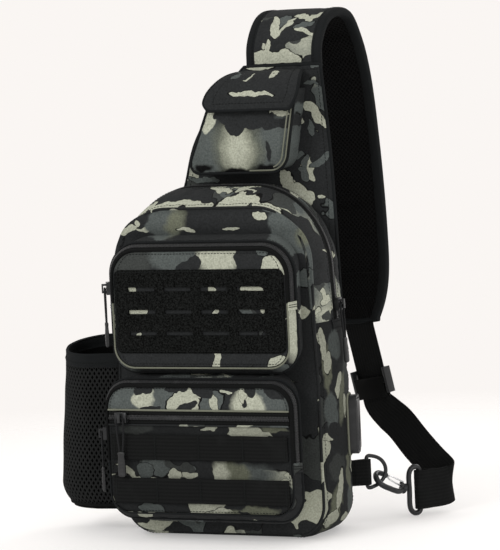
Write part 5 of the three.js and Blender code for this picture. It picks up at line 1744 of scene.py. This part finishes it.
def add_webbing():
    up = V(0, 0, 1)
    route = [(WEB_ROOT, V(1, -STRAP["skew"] / 2, 0.05)), (WEB_TOP, WEB_ACROSS),
             (GLIDE_AT - WEB_DOWN * 30, WEB_ACROSS), (GLIDE_AT, WEB_ACROSS),
             (GLIDE_AT + WEB_DOWN * 16, WEB_ACROSS), (GLIDE_AT + WEB_DOWN * 22, WEB_ACROSS),
             (V(103.5, 147.5, 92), V(0.8, -0.22, 0.54)), (V(115.5, 144.5, 83), V(0.72, -0.15, 0.68)),
             (V(134.5, 138.5, 63), V(0.62, -0.1, 0.78)), (V(154.5, 131.5, 45), V(0.35, -0.05, 0.93)),
             (V(169, 127, 33), V(0.1, 0, 1)), (V(175.5, 121.5, 29), up), (V(174, 115, 27), up)]
    loop = webbing_loop()
    places = [p for p, _ in route] + loop
    across = [w for _, w in route] + [up] * len(loop)
    spans, per_span = len(places) - 1, 9
    stations = []
    for i in range(spans * per_span + 1):
        k = min(i // per_span, spans - 1)
        f = i / per_span - k
        stations.append((catmull(places, False, i / (spans * per_span)),
                         across[k].lerp(across[k + 1], f).normalized()))
    profile = [(-19, 0.35), (-18.7, 0.8)] + [(x, 0.9) for x in range(-12, 13, 6)]
    profile += [(18.7, 0.8), (19, 0.35)]
    outer, inner = [], []
    for x, half in profile:
        top_line, low_line = [], []
        for i, (p, w) in enumerate(stations):
            along = (stations[min(i + 1, len(stations) - 1)][0]
                     - stations[max(i - 1, 0)][0]).normalized()
            w = (w - along * w.dot(along)).normalized()
            out = w.cross(along)
            top_line.append(p + w * x + out * half)
            low_line.append(p + w * x - out * half)
        outer.append(top_line)
        inner.append(low_line)
    between("strap_webbing_band", outer, inner, WEBBING, stands_for="strap_webbing",
            slot="webbing")
    # the row of stitches that closes the loop round the frame's bar
    line = [BAR_AT + LOOP_OUT * 15 + LOOP_SIDE * 2.75 + up * z for z in range(-16, 17)]
    stitches("webbing_loop_stitches", line, [LOOP_SIDE] * len(line))

    rounded("tri_glide", PLASTIC, 1.5, 4, "adjuster")
    rounded("webbing_tail_loop", WEBBING, 0.35, 2, "adjuster")


def spline_tube(name, points, radius, material, count, closed=False, sides=14, **how):
    return tube(name, curve(points, count, closed), radius, material, closed=closed, sides=sides,
                **how)


def in_ring_plane(pairs, at):
    """Points from (out from the ring, up), in millimetres from `at`."""
    return [at + FROM_RING * out + V(0, 0, up) for out, up in pairs]


def add_side_hardware():
    """The D-ring and the hook's frame, both bent from wire."""
    half, depth = 15.5, 21
    turns = ladder(0.12 * PI, 0.88 * PI, 8)
    bow = [(1.5 + (depth - 1.5) * math.sin(t), half * math.cos(t)) for t in turns]
    bar = [(1.5, -half), (0, -13.5), (0, 0), (0, 13.5), (1.5, half)]
    spline_tube("d_ring_wire", in_ring_plane(bow + bar, RING_AT), 1.9, METAL, 110, True,
                body="ring", stands_for="d_ring", slot="black_metal")
    h, reach = 22.6, 11.5
    loop = [(0, 0), (0, h * 0.5), (0, h - 2.5), (-2.5, h), (-6.5, h), (-9.8, h - 2.5),
            (-reach, h - 7), (-reach, 0), (-reach, 7 - h), (-9.8, 2.5 - h), (-6.5, -h),
            (-2.5, -h), (0, 2.5 - h), (0, -h * 0.5)]
    spline_tube("hook_frame_wire", in_ring_plane(loop, BAR_AT), 2.6, METAL, 130, True,
                body="frame", stands_for="hook_frame", slot="black_metal")


def add_side_tab():
    """A folded webbing tab round the D-ring's straight bar, sewn into the yoke's edge."""
    root, ring = V(YOKE["half"] - 0.8, 37.65, 0), V(RING_AT.x, RING_AT.y, 0)
    along = (ring - root).normalized()
    side = V(-along.y, along.x, 0)
    reach, eye = 4.2, 2.5
    turns = ladder(-1.9, 1.9, 14)
    outer = [ring + along * (reach * math.cos(t)) + side * (reach * math.sin(t)) for t in turns]
    outer = [root + V(0, -1.2, 0)] + outer + [root + V(0, 1.2, 0)]
    rows = [-12.5, -12.2, -8, -4, 0, 4, 8, 12.2, 12.5]
    sides = []
    for shrink in (0.0, 1.0):
        grid = []
        for z in rows:
            pull = 0.3 if abs(z) > 12.3 else 0
            line = []
            for i, p in enumerate(outer):
                centre = ring if 0 < i < len(outer) - 1 else (outer[0] + outer[-1]) / 2
                way = centre - p
                thick = (reach - eye) * shrink + pull if 0 < i < len(outer) - 1 else 0.9 * shrink
                line.append(p + way.normalized() * thick + V(0, 0, RING_AT.z + z))
            grid.append(line)
        sides.append(grid)
    between("side_tab_webbing", sides[0], sides[1], WEBBING, stands_for="side_tab",
            slot="webbing")
    line = [root.lerp(ring, 0.35) - side * 2.6 + V(0, 0, RING_AT.z + z) for z in range(-11, 12)]
    stitches("side_tab_stitches", line, [-side] * len(line))


def hook_frame_axes():
    """The swivel's place, and the hook's ways along it, to its gate's side and out of its plane."""
    swivel = BAR_AT + V(0, 0, 1) - FROM_RING * 13.4
    tip = V(RING_AT.x, RING_AT.y, BAR_AT.z + 20.5) + FROM_RING * 4.3
    along = (tip - swivel).normalized()
    level = -FROM_RING.cross(V(0, 0, 1)).normalized()
    upright = along.cross(level).normalized()
    lift = -upright if upright.z < 0 else upright
    tilt = math.radians(50)
    gate = lift * math.cos(tilt) + level * (math.sin(tilt) * (1 if level.y > 0 else -1))
    return swivel, along, gate.normalized(), along.cross(gate).normalized()


def add_hook():
    origin, x_way, y_way, z_way = hook_frame_axes()
    place = lambda p: origin + x_way * p[0] + y_way * p[1] + z_way * p[2]
    spine, length = 9, 39
    turns = ladder(-PI / 2, PI / 2, 6)
    bend = [(length - spine + spine * math.cos(t), spine * math.sin(t), 0) for t in turns]
    points = [(5, -1, 0), (8.5, -4.6, 0), (13, -8, 0), (19, -spine, 0), (25, -spine, 0)] + bend
    points += [(length - spine - 3, spine - 0.1, 0), (length - spine - 6, spine - 0.4, 0)]
    thick = lambda f: 2.65 + 0.15 * math.sin(PI * clamp((f - 0.15) / 0.7))
    spline_tube("hook_bow", [place(p) for p in points], thick, METAL, 70, body="hook",
                stands_for="hook_body", slot="black_metal", sides=16)
    neck = [(3.6, 5.2), (4.1, 5.3), (4.6, 4.9), (5.2, 4.6), (6.4, 4.6), (7.1, 4.9), (7.6, 4.5)]
    turns = ladder(0, 2 * PI, 28)[:-1]
    circle = lambda a, r: [place((a, r * math.cos(turn), r * math.sin(turn))) for turn in turns]
    rings, caps = [circle(a, r) for a, r in neck], [circle(a, 1.0) for a, _ in neck]
    between("hook_swivel_collar", rings, caps, METAL, ring=True, body="hook",
            slot="black_metal")
    lug = [place((a, b, c)) for a, b, c in ((5, 1, 0), (5.4, 4, 0), (6.2, 6.2, 0), (7.6, 6.6, 0))]
    spline_tube("hook_lug", lug, lambda f: 2.0 - 0.5 * f, METAL, 12, body="hook",
                slot="black_metal")
    reach = length - spine - 7.2
    wire = [(6, 5.6, 2.6), (14, 6.8, 2.5), (reach - 2, 8.2, 1.8), (reach, 8.5, 0),
            (reach - 2, 8.2, -1.8), (14, 6.8, -2.5), (6, 5.6, -2.6)]
    spline_tube("hook_gate_wire", [place(p) for p in wire], 0.8, STEEL, 44, body="gate",
                stands_for="hook_gate", slot="gate_steel", sides=10)


# ---------------------------------------------------------------- charging port
def add_port():
    rounded("usb_bezel", PLASTIC, 1.7, 4, "bag")
    rounded("usb_socket", METAL, 0.3, 2, "bag")
    rounded("usb_cover", PLASTIC, 1.2, 4, "port_cover")

    # the piped edge of the cloth round the port
    turn = math.radians(13.7)
    x_way, y_way = V(math.cos(turn), math.sin(turn), 0), V(-math.sin(turn), math.cos(turn), 0)
    o = body_outline(22)
    origin = V(o["right"] + 0.3, 22, 101)
    low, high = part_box("usb_bezel")
    tall = (high.z - low.z) / MM
    ring = dict(left=-13.0, right=13.0, base=-tall / 2 - 1.2, top=tall / 2 + 1.2, low=7, high=7)
    line = [origin + x_way * 0.9 + y_way * a + V(0, 0, b) for a, b in outline_list(ring, 14)]
    seam("port_edge_piping", line, 1.1, PALE_TRIM, True, slot="piping")


# ---------------------------------------------------------------- sliders and pulls
def pull_grip(name, frame_of, body):
    """A moulded grip with a waist and ribs on its lower half."""
    rings = []
    top, tall, levels, sides = -32.3, 24.0, 34, 20
    for f in ladder(0, 1, levels):
        z = top - tall * f
        end = min(f, 1 - f) * tall
        shut = math.sqrt(clamp(1 - (1 - clamp(end / 2.2)) ** 2, 0.05, 1))
        rib = 0.28 * max(math.sin(f * 2 * PI * 7), 0) if 0.35 < f < 0.88 else 0
        wide = (3.9 - 0.75 * math.exp(-((f - 0.22) / 0.12) ** 2)) * mix(0.55, 1, shut) - rib * 0.5
        thick = (2.1 - 0.25 * math.exp(-((f - 0.2) / 0.12) ** 2)) * mix(0.5, 1, shut) - 0.28 + rib
        ring = []
        for t in ladder(0, 2 * PI, sides)[:-1]:
            c, s = math.cos(t), math.sin(t)
            ring.append(frame_of(V(wide * math.copysign(abs(c) ** 0.6, c),
                                   thick * math.copysign(abs(s) ** 0.6, s), z)))
        rings.append(ring)
    points = [p for ring in rings for p in ring]
    points += [sum(ring, V(0, 0, 0)) / sides for ring in (rings[0], rings[-1])]
    faces = []
    for i in range(0, levels * sides, sides):
        for k in range(sides):
            m = (k + 1) % sides
            faces.append((i + k, i + m, i + sides + m, i + sides + k))
    first, last, end = len(points) - 2, len(points) - 1, levels * sides
    for k in range(sides):
        m = (k + 1) % sides
        faces.append((m, k, first))
        faces.append((end + k, end + m, last))
    make(name + "_grip", points, faces, RUBBER, body=body, stands_for=name + "_pull_grip",
         slot="plastic", crease=60)


def add_slider(name, place, turn, body, pull_body, lean=0.0):
    """A zip slider at `place`, with a looped cord and a grip that hang from it."""
    rounded(name + "_slider", METAL, 0.55, 3, body)
    tilt = Matrix.Rotation(lean, 4, "Y") @ Matrix.Rotation(turn, 4, "Z")
    move = Matrix.Translation(place) @ tilt @ Matrix.Translation(V(0, -6.5, 0))
    frame_of = lambda p: move @ p
    half = [V(0, 0, 0), V(2.2, 0, -0.05), V(3.4, 0, -1.6), V(3.5, 0, -6), V(3.1, 0, -17.6),
            V(1.6, 0, -32)]
    other = [V(-p.x, 0, p.z) for p in half[1:]]
    line = curve([frame_of(p) for p in other[::-1] + half], 60)
    tube(name + "_pull_cord_braid", line, 0.98, CORD, sides=10, body=pull_body,
         stands_for=name + "_pull_cord", slot="cord")
    pull_grip(name, frame_of, pull_body)


def pocket_ride(pocket, z):
    """Where a slider sits on the left end of a pocket's zip, and its turn about Z."""
    o = pocket_outline(pocket, sum(BEVEL) / 2)
    a, b = pocket["face"], pocket["shoulder"]
    slope = math.atan2(a["left"] - b["left"], b["y"] - a["y"])
    return V(o["left"], o["y"], z), -(PI / 2 - slope)


def add_sliders():
    right = body_outline(ZIP_Y)["right"]
    add_slider("main_zip", V(right * taper_at(219), ZIP_Y, 219), PI / 2, "main_slider",
               "main_pull", -math.atan(BODY["taper"] * right))
    place, turn = pocket_ride(UPPER, 243)
    add_slider("upper_zip", place, turn, "upper_slider", "upper_pull")
    place, turn = pocket_ride(LOWER, 105)
    add_slider("lower_zip", place, turn, "lower_slider", "lower_pull")
    add_slider("front_zip", V(-82, LOWER["face"]["y"], FRONT_ZIP_Z), 0, "front_slider",
               "front_pull")


# ---------------------------------------------------------------- stage and light
def add_stage():
    """A pale room, a floor that fades out with distance, and three lamps."""
    background = (0.957, 0.922, 0.896)
    world = bpy.data.worlds.new("studio")
    world.use_nodes = True
    world.node_tree.nodes["Background"].inputs["Color"].default_value = (*background, 1)
    world.node_tree.nodes["Background"].inputs["Strength"].default_value = 1.0
    scene.world = world
    scene.view_settings.view_transform = "Standard"
    scene.view_settings.look = "None"

    n = Nodes("pale_floor", 0.7, Emission_Color=(0.95, 0.94, 0.93, 1), Emission_Strength=0.34)
    here = n.placed()
    far = n.add("VectorMath", {0: here}, operation="LENGTH").outputs["Value"]
    fade = n.ramp(far, 0.95, 0.45)
    n.tree.links.new(fade, n.shader.inputs["Alpha"])
    material = n.done((0.60, 0.595, 0.59))
    mesh = bpy.data.meshes.new("floor")
    count = 64
    mesh.from_pydata([(math.cos(2 * PI * k / count), math.sin(2 * PI * k / count), -0.0004)
                      for k in range(count)], [], [tuple(range(count))])
    mesh.materials.append(material)
    add_object("floor", mesh)

    for name, place, aim, size, power in (("key", (-0.9, -1.9, 1.7), (0, 0, 0.25), 0.9, 26),
                                          ("fill", (2.2, -1.2, 0.9), (0, 0, 0.2), 1.2, 14),
                                          ("rim", (0.6, 1.9, 1.5), (0, 0, 0.3), 1.0, 12)):
        data = bpy.data.lights.new(name, "AREA")
        data.energy, data.size = power, size
        light = add_object(name, data)
        light.location = place
        light.rotation_euler = (Vector(aim) - Vector(place)).to_track_quat("-Z", "Y").to_euler()


add_front_panel()
add_top_gusset()
add_side_gusset()
add_zip_end_folds()
add_yoke()
add_back_pad()
add_upper_pocket()
add_patch()
add_lower_pocket()
add_net()
add_bottle_pocket()
add_pouch()
add_flap()
add_strap()
add_strap_bindings()
add_webbing()
add_side_hardware()
add_side_tab()
add_hook()
add_port()
add_sliders()
add_stage()
